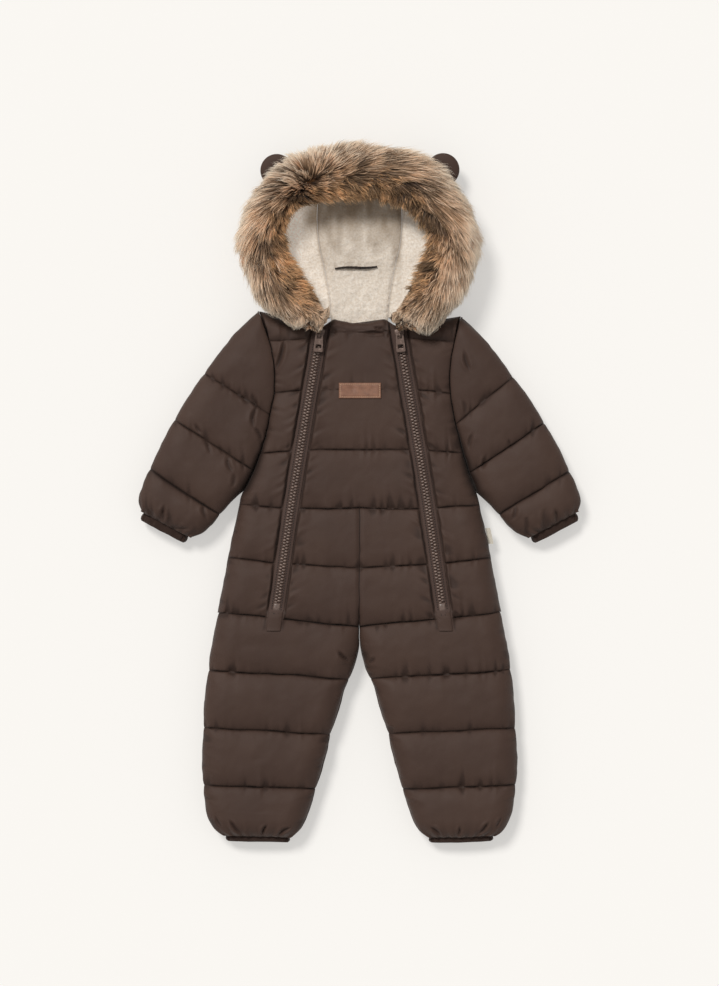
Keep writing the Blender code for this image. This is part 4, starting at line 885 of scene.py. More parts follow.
def hood_pieces():
    """The shell's and the lining's centre strips and sides, by the names of their solids."""
    made = {}
    for part, near, far, fine in (
        ("hood", -GAP / 2, -GAP / 2 - SHELL, 0), ("lining", GAP / 2, GAP / 2 + LINING, 1),
    ):
        relief = pile_relief(70) if fine else padding_relief(80)
        slack = 0.003 if fine else 0.012
        strip_u = np.linspace(0.0, 1.0 - slack, 30 if fine else 12)
        side_u = np.linspace(1.0 + slack, 2.0, 56 if fine else 22)
        strip_v = np.linspace(0.0, 1.0, 140 if fine else 50)
        side_v = np.linspace(0.055, SIDE_PIECE_END, 170 if fine else 60)
        made[f"{part}_centre"] = hood_piece(
            f"{part}_centre_cloth", strip_u, strip_v, near, far, relief, both=True)
        for label, side in SIDES.items():
            made[f"{part}_side_{label}"] = hood_piece(
                f"{part}_side_{label}_cloth", side_u, side_v, near, far, relief, mirror=side)
    return made


# Fur ------------------------------------------------------------------------------------------------------

CORE_LEVEL = 50.0       # middle of the fur's section
FUR_LIGHT = (1.15, 1.175, 1.16)         # how light the hairs are as a whole, in red, green and blue
HAIR_COUNT = 96000
ALONG = np.array((0.0, 0.36, 0.70, 1.0))      # stations along a hair, as shares of its length
BESIDE_NECK = 242.0     # height below which the fur lies beside the neck
LOCK_ANGLE, LOCK_ROOT = 2.5, 0.9      # size of a lock of hairs, in degrees and in places round the section
FLOW_TURN = -47.0       # angle from which the hairs sweep to the right, and before it down the left
# Place round the section from which hairs run outwards and inwards, and how light they are on both
# sides of it:
# angle, place, light of the hairs that run inwards, light of those that run outwards
PARTING = (
    (-156.0, 6.5, 1.3, 0.9), (-125.0, 6.4, 1.6, 1.05), (-90.0, 6.5, 1.6, 1.5), (-62.0, 6.8, 1.4, 1.9),
    (-49.0, 7.0, 1.4, 1.6), (-20.0, 6.6, 1.35, 1.3), (10.0, 6.3, 1.15, 1.0), (33.0, 6.6, 1.1, 1.25),
    (50.0, 7.0, 1.0, 1.4), (90.0, 7.1, 0.8, 1.45), (125.0, 6.7, 1.2, 1.0), (156.0, 6.5, 1.3, 0.9),
)
# Dark spots where the flow parts: angle, place round the section, spread in degrees
DARK_SPOTS = ((-49.0, 6.6, 7.0), (33.0, 6.8, 8.0), (75.0, 7.4, 10.0), (-88.0, 6.8, 10.0))
# Where the fur's inner edge ends beside the neck, left and right: distance from the middle, height of that
# end, and how much further out the edge is for each millimetre above it
INNER_ENDS = ((36.0, 207.6, 0.5), (39.0, 210.0, 0.72))
# Lowest fur beside the zips: distance from the middle, height on the left, height on the right
FUR_ENDS = (
    (34.0, 219.0, 211.0), (42.0, 201.5, 202.0), (47.0, 192.5, 204.0), (55.0, 202.0, 205.0),
    (63.0, 202.0, 201.0),
    (72.0, 196.0, 190.0), (76.0, 195.0, 188.0), (84.0, 201.5, 187.5), (94.0, 207.5, 201.0),
    (107.0, 210.0, 212.5),
    (118.0, 220.0, 220.0),
)


def fur_section(angle):
    """The trim's section at angles: distances from the middle and levels, from low outside to low inside."""
    turn, left = np.abs(angle), angle < 0
    inner = np.where(left, smooth(FUR, 1, turn), smooth(FUR, 3, turn))
    outer = np.where(left, smooth(FUR, 2, turn), smooth(FUR, 4, turn))
    low, top = smooth(FUR, 5, turn), smooth(FUR, 6, turn)
    rim = smooth(RIM, 1, np.minimum(turn, RIM_START))
    over, under = rim + SHELL + 1.6, rim - LINING - 1.8
    outside, inside = np.maximum(outer - over, 6.0), np.maximum(under - inner, 6.0)
    rise = top - low
    inner_low = np.minimum(np.where(turn > 120, np.maximum(37.0, low - 6.0), 37.0), RIM_LEVEL - 0.2)
    reach = np.stack([
        over + outside * 0.1, over + outside * 0.35, over + outside * 0.8, over + outside,
        over + outside * 0.8,
        over + outside * 0.3, rim, under - inside * 0.35, under - inside * 0.85, under - inside,
        under - inside * 0.8,
        under - inside * 0.25,
    ])
    level = np.stack([
        low + rise * 0.15, low, low + rise * 0.1, low + rise * 0.4, low + rise * 0.72, low + rise * 0.93, top,
        low + rise * 0.9, inner_low + (top - inner_low) * 0.6, inner_low + (top - inner_low) * 0.28,
        inner_low + 1.0,
        inner_low + 0.5,
    ])
    return rim, reach, level


def fur_point(angle, place, size):
    """Points of the trim: angle round the hood, place round the section, size from middle to surface."""
    rim, reach, level = fur_section(angle)
    place = np.clip(place, 0.0, len(reach) - 1.001)
    i = np.floor(place).astype(int)
    f = place - i
    f = f * f * (3 - 2 * f) * 0.4 + f * 0.6
    pick = np.arange(len(angle))
    distance = reach[i, pick] * (1 - f) + reach[i + 1, pick] * f
    height = level[i, pick] * (1 - f) + level[i + 1, pick] * f
    middle = rim + 1.5
    floor = np.where(height < CORE_LEVEL, np.minimum(CORE_LEVEL, height + 8.0), CORE_LEVEL)
    distance = middle + (distance - middle) * size
    height = floor + (height - floor) * size
    spin = np.radians(angle)
    return np.stack([distance * np.sin(spin), HOOD_MIDDLE + distance * np.cos(spin), height], -1)


def fur_core():
    """The dense underfur on its backing, which hides the rim."""
    places = np.linspace(0.0, 10.9, 34)
    rings = []
    for angle in np.linspace(-FUR[-1][0], FUR[-1][0], 150):
        size = 0.52 + 0.05 * noise(angle * 1.8, places * 5.0, 4.0, 90)
        rings.append(fur_point(np.full(len(places), angle), places, size))
    return loft("fur_backing", rings)


def hair_colours(outside, far, edge, along, dark):
    """Colours of hairs from root to tip: brown, paler towards the outer edge when far is 1, golden inside."""
    t = ((along[None, :] - dark[:, None]) / (1.0 - dark[:, None]))[..., None]
    far, edge = far[:, None, None], edge[:, None, None]
    outer = np.array(srgb(48, 31, 21)) + np.zeros(t.shape)
    tip = np.array(srgb(192, 158, 126)) * (1 - far) + np.array(srgb(255, 246, 234)) * far
    middle = np.array(srgb(148, 114, 86)) * (1 - far) + np.array(srgb(216, 192, 168)) * far
    for colour, low, high in ((np.array(srgb(98, 72, 52)), -0.15, 0.2), (middle, 0.15, 0.5), (tip, 0.4, 0.9)):
        outer = outer + (colour - outer) * ramp(t, low, high)
    inner = np.array(srgb(54, 34, 22)) + np.zeros(t.shape)
    for colour, low, high in (((122, 90, 62), -0.2, 0.25), ((184, 147, 110), 0.25, 0.8)):
        inner = inner + (np.array(srgb(*colour)) - inner) * ramp(t, low, high)
    inner = inner + (np.array(srgb(224, 194, 160)) - inner) * edge * ramp(t, -0.3, 0.5)
    return inner + (outer - inner) * outside[:, None, None]


def fur_locks(angle, root):
    """For each hair, seven random numbers of its lock, and the angle and place it gathers round."""
    bow_angle, bow_root = 0.7 * np.sin(root * 1.9), 0.35 * np.sin(angle * 0.21)
    cell_angle = np.floor(angle / LOCK_ANGLE + bow_angle)
    cell_root = np.floor(root / LOCK_ROOT + bow_root)
    cell = ((cell_angle * 37 + cell_root * 101) % 4096).astype(int)
    lock = np.random.default_rng(8).random((7, 4096))[:, cell]
    return lock, (cell_angle + 0.5 - bow_angle) * LOCK_ANGLE, (cell_root + 0.5 - bow_root) * LOCK_ROOT


def clear_of_neck(tips, angle, spread, chance):
    """Keeps the tips beside the neck outside the fur's inner edge and above its uneven lower end."""
    count = len(tips)
    beside = tips[:, 1] < BESIDE_NECK
    start, low, slope = (np.where(angle < 0, one, other) for one, other in zip(*INNER_ENDS))
    inmost = start + slope * np.maximum(tips[:, 1] - low, 0.0) + 6.0 * chance.random(count) ** 2
    clear = np.sign(angle) * np.maximum(np.sign(angle) * tips[:, 0], inmost)
    tips[:, 0] = np.where(beside, clear, tips[:, 0])
    reached = np.abs(tips[:, 0])
    ends = np.where(angle < 0, smooth(FUR_ENDS, 1, reached), smooth(FUR_ENDS, 2, reached))
    lowest = ends + 9.0 * chance.random(count) ** 1.6 * (0.4 + spread)
    tips[:, 1] = np.where(beside, np.maximum(tips[:, 1], lowest), tips[:, 1])


def hair_strips(roots, bends, tips, inside, stray, pale, chance):
    """Narrow strips along curves from root to tip, seven points each. inside is a point below each root."""
    count = len(roots)
    a, b, c = (part[:, None] for part in ((1 - ALONG) ** 2, 2 * ALONG * (1 - ALONG), ALONG**2))
    path = roots[:, None] * a + bends[:, None] * b + tips[:, None] * c
    path[:, 1:] += chance.normal(size=(count, 3, 3)) * np.array((0.3, 0.5, 0.7))[None, :, None]
    facing = bends - inside
    facing /= np.linalg.norm(facing, axis=1, keepdims=True)
    facing = facing + np.array((0.0, 0.0, 0.5)) + chance.normal(size=(count, 3)) * 0.35
    across = np.cross(np.gradient(path, axis=1), facing[:, None])
    across /= np.maximum(np.linalg.norm(across, axis=2, keepdims=True), 1e-6)
    width = (0.32 + 0.24 * chance.random(count)) * np.where(stray, 0.6, 1.0) * np.where(pale, 1.35, 1.0)
    offset = across[:, :3] * (width[:, None] * np.array((0.8, 1.0, 0.66)))[..., None]
    return np.concatenate([path[:, :3] - offset, path[:, :3] + offset, path[:, 3:]], axis=1)


def hair_shades(angle, root, parting, outside, near, to_end, lock, pale, sooty, chance):
    """The colours of every hair at its seven points, lighter or darker by place, lock and kind."""
    dark = 0.02 + 0.14 * lock[3] + 0.26 * near + 0.10 * chance.random(len(angle))
    for spot, place, wide in DARK_SPOTS:
        dark = dark + 0.24 * np.exp(-(((angle - spot) / wide) ** 2) - ((root - place) / 1.3) ** 2)
    edge = ramp(root, 7.6, 9.0)
    far = ramp(parting - root, 0.3, 2.3) + 0.5 * (lock[6] - 0.5) + 0.3 * pale + 0.5 * to_end
    far = np.clip(far, 0.0, 1.0)
    outside = np.maximum(outside, 0.7 * to_end)
    colours = hair_colours(outside, far, edge, ALONG, np.clip(dark, 0.0, 0.82))
    tone = smooth(PARTING, 2, angle) * (1 - outside) + smooth(PARTING, 3, angle) * outside
    uneven = 0.2 * chance.normal(size=len(angle)) + 1.75 * (lock[6] - 0.5)
    tone = tone * np.exp(uneven + 0.35 * noise(angle * 1.9, root * 7.0, 9.0, 91))
    tone = tone * np.where(pale, 1.8, 1.0) * np.where(sooty, 0.22, 1.0) * (0.9 + 0.75 * far * outside)
    colours = colours * np.array(FUR_LIGHT) * tone[:, None, None]
    colours = colours * np.minimum(1.0, 0.96 / colours.max(axis=2, keepdims=True))
    return np.concatenate([colours[:, :3], colours[:, :3], colours[:, 3:]], axis=1)


def fur_hairs():
    """Hairs in locks all round the trim, each a narrow tapering strip, in four pieces round the hood."""
    chance = np.random.default_rng(7)
    count = HAIR_COUNT
    end = FUR[-1][0]
    angle = chance.uniform(-end, end, count)
    root = chance.uniform(1.0, 10.0, count)
    lock, lock_angle, lock_root = fur_locks(angle, root)
    parting = smooth(PARTING, 1, angle)
    outwards = np.tanh((parting - root + 1.2 * (lock[4] - 0.5)) / 0.55)
    outside = ramp(outwards, -0.6, 0.6)
    near = np.exp(-(((root - parting) / 1.7) ** 2))
    lean = np.radians(32.0 + 40.0 * near + 26.0 * (lock[2] - 0.5) + 3.5 * chance.normal(size=count))
    length = 17.0 + 7.0 * lock[0] + (12.0 + 9.0 * lock[0]) * outside + 4.0 * chance.normal(size=count)
    length = length * (1 - 0.25 * ramp(root, 3.4, 1.5))
    to_end = ramp(np.abs(angle), 122.0, 150.0)
    flow = np.tanh((angle - FLOW_TURN - 7.0 * (parting - root)) / 14.0)
    reach = smooth(RIM, 1, np.minimum(np.abs(angle), RIM_START))
    swept = length * np.sin(lean) * flow * (1 - 0.75 * to_end)
    tip_angle = angle + 0.75 * (lock_angle - angle) + np.degrees(swept / reach)
    tip_angle = np.clip(tip_angle, -157.0, 157.0)
    tip_place = root - outwards * length * np.cos(lean) / 15.5 + 0.6 * (lock_root - root)
    tip_place = np.clip(tip_place, 0.4, 10.4)
    kind = chance.random(count)
    stray, pale, sooty = kind < 0.05, (kind > 0.72) & (kind < 0.86), kind > 0.86
    size = 0.79 + 0.26 * lock[1] + 0.06 * chance.normal(size=count) + 0.18 * stray + 0.05 * pale
    size = np.clip(size, 0.6, 1.25)
    roots = fur_point(angle, root, np.full(count, 0.46))
    tips = fur_point(tip_angle, tip_place, size)
    fan = to_end * (4.0 + 20.0 * lock[5])
    tips[:, 1] -= fan
    tips[:, 0] += np.sign(angle) * to_end * (outwards * 7.0 - 1.0)
    clear_of_neck(tips, angle, lock[3], chance)
    bends = fur_point(angle * 0.5 + tip_angle * 0.5, root * 0.55 + tip_place * 0.45, size * 0.97)
    bends[:, 1] -= fan * 0.35
    bends = bends + chance.normal(size=(count, 3)) * 0.8
    inside = fur_point(angle, root, np.full(count, 0.02))
    points = hair_strips(roots, bends, tips, inside, stray, pale, chance)
    colours = hair_shades(angle, root, parting, outside, near, to_end, lock, pale, sooty, chance)
    quarter = np.digitize(angle, (-78.0, 0.0, 78.0))
    names = ("fur_left_lower", "fur_left_upper", "fur_right_upper", "fur_right_lower")
    return [hair_mesh(name, points[quarter == n], colours[quarter == n]) for n, name in enumerate(names)]


def hair_mesh(name, points, colours):
    """Strips of seven points each: two at the root and at two stations, and one at the tip."""
    count = len(points)
    strip = np.array([(0, 3, 4), (0, 4, 1), (1, 4, 5), (1, 5, 2), (2, 5, 6)])
    corners = (np.arange(count)[:, None, None] * 7 + strip).reshape(-1)
    mesh = bpy.data.meshes.new(name)
    mesh.vertices.add(count * 7)
    mesh.vertices.foreach_set("co", (points * MM).astype(np.float32).reshape(-1))
    mesh.loops.add(len(corners))
    mesh.loops.foreach_set("vertex_index", corners.astype(np.int32))
    mesh.polygons.add(len(corners) // 3)
    mesh.polygons.foreach_set("loop_start", np.arange(0, len(corners), 3, dtype=np.int32))
    shade = np.ones((count * 7, 4), dtype=np.float32)
    shade[:, :3] = colours.reshape(-1, 3)
    mesh.attributes.new("hair", "FLOAT_COLOR", "POINT").data.foreach_set("color", shade.reshape(-1))
    mesh.update()
    mesh.shade_smooth()
    piece = bpy.data.objects.new(name, mesh)
    bpy.context.scene.collection.objects.link(piece)
    return piece


def ear(label):
    """A padded ear with a piped edge, whose root runs in to the hood under the fur."""
    x, y = EAR_PLACES[label]
    inwards = np.array((-x, HOOD_MIDDLE - y))
    reach = float(np.linalg.norm(inwards))
    inwards = inwards / reach
    across = np.array((-inwards[1], inwards[0]))
    turn = math.degrees(math.atan2(abs(x), y - HOOD_MIDDLE))
    root = reach - (float(smooth(RIM, 1, turn)) + EAR["gap"])
    radius, thick = EAR["radius"], EAR["thick"]
    turns = np.linspace(-math.pi / 2, math.pi / 2, 41)
    outline = [(-radius * math.cos(a), radius * math.sin(a)) for a in turns]
    side = [(root * f, radius + (EAR["root"] - radius) * f * f) for f in np.linspace(0.0, 1.0, 9)[1:]]
    outline = outline + side + [(p, -q) for p, q in side[::-1]]
    rings = []
    for angle in np.linspace(-math.pi / 2, math.pi / 2, 25):
        flat = abs(math.sin(angle))
        size = math.cos(angle) ** 0.55 if flat < 0.999 else 0.04
        lift = 0.5 + 0.5 * math.copysign(flat**0.9, angle)
        pipe = 0.35 * math.exp(-(((size - 0.955) / 0.02) ** 2))
        ring = []
        for along, sideways in outline:
            deep = along if along > root * 0.9 else along * size
            place = np.array((x, y)) + inwards * deep + across * sideways * size
            ring.append((place[0], place[1], EAR["low"] + thick * lift - pipe * math.copysign(1, angle)))
        rings.append(ring)
    return loft(f"ear_{label}_cloth", rings)


SEAM_DROP = 1.2         # how far a laid strip may sink from one station to the next


# Zips and small pieces ------------------------------------------------------------------------------------


def surface_of(pieces):
    """A search tree over the faces of several pieces."""
    points, faces = [], []
    for item in pieces:
        start = len(points)
        points += [item.matrix_world @ vertex.co for vertex in item.data.vertices]
        faces += [tuple(start + i for i in polygon.vertices) for polygon in item.data.polygons]
    return BVHTree.FromPolygons(points, faces)


def level_on(tree, x, y):
    """Level in millimetres of the highest face at a place."""
    hit = tree.ray_cast(Vector((x * MM, y * MM, 0.2)), Vector((0.0, 0.0, -1.0)))[0]
    return UNDER if hit is None else hit.z / MM


def laid_strip(name, tree, stations, columns, thick):
    """A strip on a surface. A station is a place and the direction across; columns are places across.

    Where a station falls between two pieces, the strip spans the seam as cloth does.
    """
    levels = np.array([
        [level_on(tree, x + across[0] * d, y + across[1] * d) + GAP for d in columns]
        for (x, y), across in stations
    ])
    padded = np.pad(levels, ((1, 1), (0, 0)), "edge")
    levels = np.maximum(levels, np.maximum(padded[:-2], padded[2:]) - SEAM_DROP)
    rings = []
    for ((x, y), across), floors in zip(stations, levels):
        line = [(x + across[0] * d, y + across[1] * d, z) for d, z in zip(columns, floors)]
        top = [(px, py, z + t) for (px, py, z), t in zip(line, thick)]
        rings.append(top + line[::-1])
    return loft(name, rings)


def studs(name, centres, along, length, width, height, square=0.6):
    """Many small rounded blocks as one mesh, such as teeth or stitches. centres are their bases' middles."""
    centres, along = np.asarray(centres, dtype=float), np.asarray(along, dtype=float)
    along = along / np.linalg.norm(along, axis=1, keepdims=True)
    across = np.stack([-along[:, 1], along[:, 0]], 1)
    turn = np.radians(np.arange(8) * 45.0 + 22.5)
    plan = np.stack([np.cos(turn), np.sin(turn)], 1)
    plan = np.sign(plan) * np.abs(plan) ** square
    plan = plan * np.array((length, width)) / 2
    levels = ((0.92, 0.0), (1.0, height * 0.45), (0.86, height * 0.82), (0.5, height))
    rings = []
    for size, z in levels:
        spread = along[:, None] * plan[None, :, :1] + across[:, None] * plan[None, :, 1:]
        xy = centres[:, None, :2] + spread * size
        rings.append(np.concatenate([xy, np.broadcast_to(centres[:, None, 2:] + z, xy.shape[:2] + (1,))], 2))
    points = np.stack(rings, 1)
    base = np.arange(len(centres)) * 32
    faces = []
    for row in range(3):
        for i in range(8):
            j = (i + 1) % 8
            quad = np.array((row * 8 + i, row * 8 + j, row * 8 + 8 + j, row * 8 + 8 + i))
            faces += (base[:, None] + quad).tolist()
    faces += (base[:, None] + np.arange(8)[::-1]).tolist()
    faces += (base[:, None] + np.arange(8) + 24).tolist()
    return mesh_piece(name, points.reshape(-1, 3), faces)


def zip_place(y, side, off=0.0):
    """A place on a zip at a distance to the side of its chain, and the direction of the chain there."""
    slope = float(zip_edge(np.array(y - 1.0)) - zip_edge(np.array(y + 1.0))) / 2
    along = np.array((side * slope, -1.0))
    along /= np.linalg.norm(along)
    across = np.array((-along[1], along[0]))
    point = np.array((side * float(zip_edge(np.array(y))), y))
    return point + across * off, along, across


def zip_pieces(label, side, tree):
    """Tapes, teeth and bottom stop of a zip."""
    def floor_at(y):
        x, _, _ = zip_place(y, side)
        return float(zip_floor(np.array(y), side)) + GAP if y > -158 else level_on(tree, x[0], y) + GAP

    rows = np.arange(ZIP_TOP, TAPE_END + 6.0, -3.0)
    rings = []
    for y in rows:
        middle, level = side * float(zip_edge(np.array(y))), floor_at(y)
        half = TAPE_HALF if y > -140 else TAPE_HALF - 1.2
        top = [(middle + d, y, level + t) for d, t in (
            (-half, 0.7), (-half + 0.8, 1.0), (-4.2, 1.0), (-3.4, 1.3), (3.4, 1.3), (4.2, 1.0),
            (half - 0.8, 1.0), (half, 0.7))]
        rings.append(top + [(middle + half, y, level), (middle - half, y, level)])
    tape = loft(f"zip_tape_{label}", rings)
    centres, directions = [], []
    for own, shift in ((-1, 0.0), (1, 0.5)):
        for n in range(int((ZIP_TOP - 12.0 - CHAIN_END) / TOOTH_PITCH)):
            y = CHAIN_END + 1.5 + (n + shift) * TOOTH_PITCH
            point, along, across = zip_place(y, side, own * 1.75)
            centres.append((point[0], point[1], floor_at(y) + 1.2))
            directions.append(across)
    teeth = studs(f"zip_teeth_{label}", centres, directions, 4.2, 2.5, 2.0)
    point, along, across = zip_place((CHAIN_END + STOP_END) / 2 + 1.0, side)
    base = (point[0], point[1], floor_at(CHAIN_END) + 1.0)
    stop = studs(f"zip_stop_{label}", [base], [along], 10.0, 8.4, 2.6, square=0.2)
    return tape, teeth, stop


def end_patch(label, side, tree):
    """A square of shell fabric sewn over the zip's end."""
    half = 8.4
    columns = np.array([
        -half, -half + 0.7, -half + 2.0, -3.0, 0.0, 3.0, half - 2.0, half - 0.7, half,
    ])
    sideways = np.array((1.0, 0.0))
    stations = [(zip_place(y, side)[0], sideways) for y in np.linspace(STOP_END + 0.4, TAPE_END, 12)]
    thick = np.array([0.8, 1.2, 1.5, 1.7, 1.8, 1.7, 1.5, 1.2, 0.8])
    return laid_strip(f"zip_end_patch_{label}", tree, stations, columns, thick)


def slider_frame(side):
    """Place of a slider on its chain, from the frame's pull tab: middle, level of its axis, and lean."""
    label = "left" if side == LEFT else "right"
    low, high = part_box(f"pull_tab_{label}")
    x = side * float(zip_edge(SLIDER_AT))
    lean = math.atan2(float(zip_edge(SLIDER_AT - 20.0) - zip_edge(SLIDER_AT)), 20.0)
    return x, (low[2] + high[2]) / 2 / MM, side * lean


def place_local(piece, x, y, z, lean):
    piece.location = (x * MM, y * MM, z * MM)
    piece.rotation_euler = (0.0, 0.0, lean)


def slider(label, frame_place):
    """The slider's body with rounded edges and side walls, and the arch that holds the pull tab."""
    x, axis, lean = frame_place
    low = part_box(f"slider_{label}")[0][2] / MM
    length, thick = SLIDER["length"], SLIDER["thick"]
    nose, tail = SLIDER["nose"] / 2, SLIDER["tail"] / 2
    outline = []
    for f in np.linspace(0, 1, 9):
        outline.append((nose - (nose - tail) * ramp(f, 0.25, 0.65), length / 2 - length * f))
    front = [(-nose * 0.5, length / 2 + 1.0), (nose * 0.5, length / 2 + 1.0)]
    outline = [(-a, b) for a, b in outline[::-1]] + front + outline
    rings = []
    for size, z in (
        (0.9, 0.0), (0.97, 0.2), (1.0, 0.6), (1.0, thick - 0.7), (0.96, thick - 0.25), (0.88, thick),
        (0.2, thick),
    ):
        rings.append([(a * size, b * size, z) for a, b in outline])
    body = loft(f"slider_{label}_body", rings)
    arch = []
    turns = [(0.0, -2.4)] + [(t, 0.0) for t in np.linspace(0.0, math.pi, 19)] + [(math.pi, -2.4)]
    for turn, down in turns:
        arch.append([
            (side * 1.05, (2.45 + r) * math.cos(turn), (2.45 + r) * math.sin(turn) + down)
            for r, side in (
                (-0.55, -0.6), (-0.55, 0.6), (-0.2, 1.0), (0.35, 1.0), (0.6, 0.6), (0.6, -0.6), (0.35, -1.0),
                (-0.2, -1.0),
            )
        ])
    arch = loft(f"slider_{label}_arch", arch)
    place_local(body, x, SLIDER_AT, low, lean)
    place_local(arch, x, SLIDER_AT, axis, lean)
    return body, arch


def pull_tab(label, frame_place):
    """A flat tab with an eye round the slider's arch and a window at its end, with eased edges."""
    x, axis, lean = frame_place
    ease = 0.3
    curve = bpy.data.curves.new(f"pull_tab_{label}_metal", "CURVE")
    curve.dimensions = "2D"
    curve.fill_mode = "BOTH"
    curve.extrude = (TAB["thick"] / 2 - ease) * MM
    curve.bevel_depth = ease * MM
    curve.bevel_resolution = 2
    curve.offset = -ease * MM
    top, end, length, corner = TAB["top"], TAB["end"], TAB["length"], 1.6
    outline = [(-top, TAB["bar"]), (top, TAB["bar"]), (end, -length + corner)]
    outline += [
        (end - corner + corner * math.cos(a), -length + corner - corner * math.sin(a))
        for a in (0.4, 0.8, 1.2)
    ]
    outline += [(end - corner, -length)]
    outline = outline + [(-px, py) for px, py in outline[::-1][:-2]]
    holes = [
        [(-h["half"], -h["start"]), (-h["half"], -h["end"]), (h["half"], -h["end"]), (h["half"], -h["start"])]
        for h in (TAB_EYE, TAB_WINDOW)
    ]
    for points in [outline] + holes:
        spline = curve.splines.new("POLY")
        spline.points.add(len(points) - 1)
        for point, (px, py) in zip(spline.points, points):
            point.co = (px * MM, py * MM, 0.0, 1.0)
        spline.use_cyclic_u = True
    tab = bpy.data.objects.new(f"pull_tab_{label}_metal", curve)
    bpy.context.scene.collection.objects.link(tab)
    place_local(tab, x, SLIDER_AT, axis, lean * 0.5)
    return tab


def chest_patch(tree):
    """A plain leather patch sewn on the chest, with rounded edges."""
    x0, y0 = CHEST_PATCH["middle"]
    wide, tall, thick = CHEST_PATCH["width"], CHEST_PATCH["height"], CHEST_PATCH["thick"]
    xs = wide * (spread(33, 0.85) - 0.5)
    rings = []
    for fy in spread(17, 0.85) - 0.5:
        y = y0 - tall * fy
        around = [(a, b) for a in (-2, 0, 2) for b in (-2, 0, 2)]
        line = [(x0 + dx, y, max(level_on(tree, x0 + dx + a, y + b) for a, b in around) + GAP) for dx in xs]
        to_edge = np.minimum(wide / 2 - np.abs(xs), tall / 2 - abs(tall * fy))
        sunk = 0.35 * np.exp(-(((to_edge - 1.6) / 0.6) ** 2))
        top = [
            (x, py, z + thick * (0.55 + 0.45 * round_off(e, 0.9)) - s)
            for (x, py, z), e, s in zip(line, to_edge, sunk)
        ]
        rings.append(top + line[::-1])
    return loft("chest_patch_leather", rings)


def hanger_loop(tree):
    """A cord loop sewn across the back of the neck inside the hood, thinner at its ends."""
    steps = np.linspace(0.0, 1.0, 41)
    x = LOOP["start"][0] + (LOOP["end"][0] - LOOP["start"][0]) * steps
    y = LOOP["start"][1] + (LOOP["end"][1] - LOOP["start"][1]) * steps + 0.8 * np.sin(2 * math.pi * steps)
    z = [level_on(tree, a, b) for a, b in zip(x, y)]
    z = np.convolve(np.pad(z, 6, mode="edge"), np.ones(13) / 13, "valid") + LOOP["radius"]
    z = z + 0.3 + LOOP["rise"] * np.sin(math.pi * steps)
    radius = LOOP["radius"] * (0.7 + 0.3 * np.sin(math.pi * steps)) + 0.12 * np.cos(steps * 60 * math.pi)
    return tube("hanger_loop_cord", np.stack([x, y, z], 1), radius, sides=12)


def side_label():
    """A blank folded label that stands out of the right side seam, with a slight curl."""
    ys = np.linspace(SIDE_LABEL["y"][0], SIDE_LABEL["y"][1], 13)
    rings = []
    for y in ys:
        seam = float(side_edge(np.array(y), RIGHT)) + GAP
        out = np.linspace(0.0, SIDE_LABEL["reach"], 8)
        lift = 0.5 * np.sin(out / SIDE_LABEL["reach"] * 1.6) * math.sin((y - ys[0]) / 8.0)
        top = [(seam + d, y, MIDDLE + SIDE_LABEL["thick"] / 2 + z) for d, z in zip(out, lift)]
        low = [(seam + d, y, MIDDLE - SIDE_LABEL["thick"] / 2 + z) for d, z in zip(out, lift)]
        rings.append(top + low[::-1])
    return loft("side_label_right_tape", rings)


def stitches(name, tree, lines, pitch, length, width=0.75):
    """Rows of stitches along lines of points on a surface."""
    centres, directions = [], []
    for line in lines:
        line = np.asarray(line, dtype=float)
        steps = np.concatenate([[0.0], np.cumsum(np.linalg.norm(np.diff(line, axis=0), axis=1))])
        for at in np.arange(pitch / 2, steps[-1], pitch):
            x, y = np.interp(at, steps, line[:, 0]), np.interp(at, steps, line[:, 1])
            ahead = np.array((np.interp(at + 0.5, steps, line[:, 0]), np.interp(at + 0.5, steps, line[:, 1])))
            behind = np.array([np.interp(at - 0.5, steps, line[:, n]) for n in (0, 1)])
            centres.append((x, y, level_on(tree, x, y) - 0.12))
            directions.append(ahead - behind)
    return studs(name, centres, directions, length, width, 0.5)


# Materials ------------------------------------------------------------------------------------------------


def srgb(red, green, blue):
    """A linear colour from a screen colour of 0 to 255."""
    return tuple(
        ((v / 255 + 0.055) / 1.055) ** 2.4 if v > 10 else v / 255 / 12.92 for v in (red, green, blue)
    )


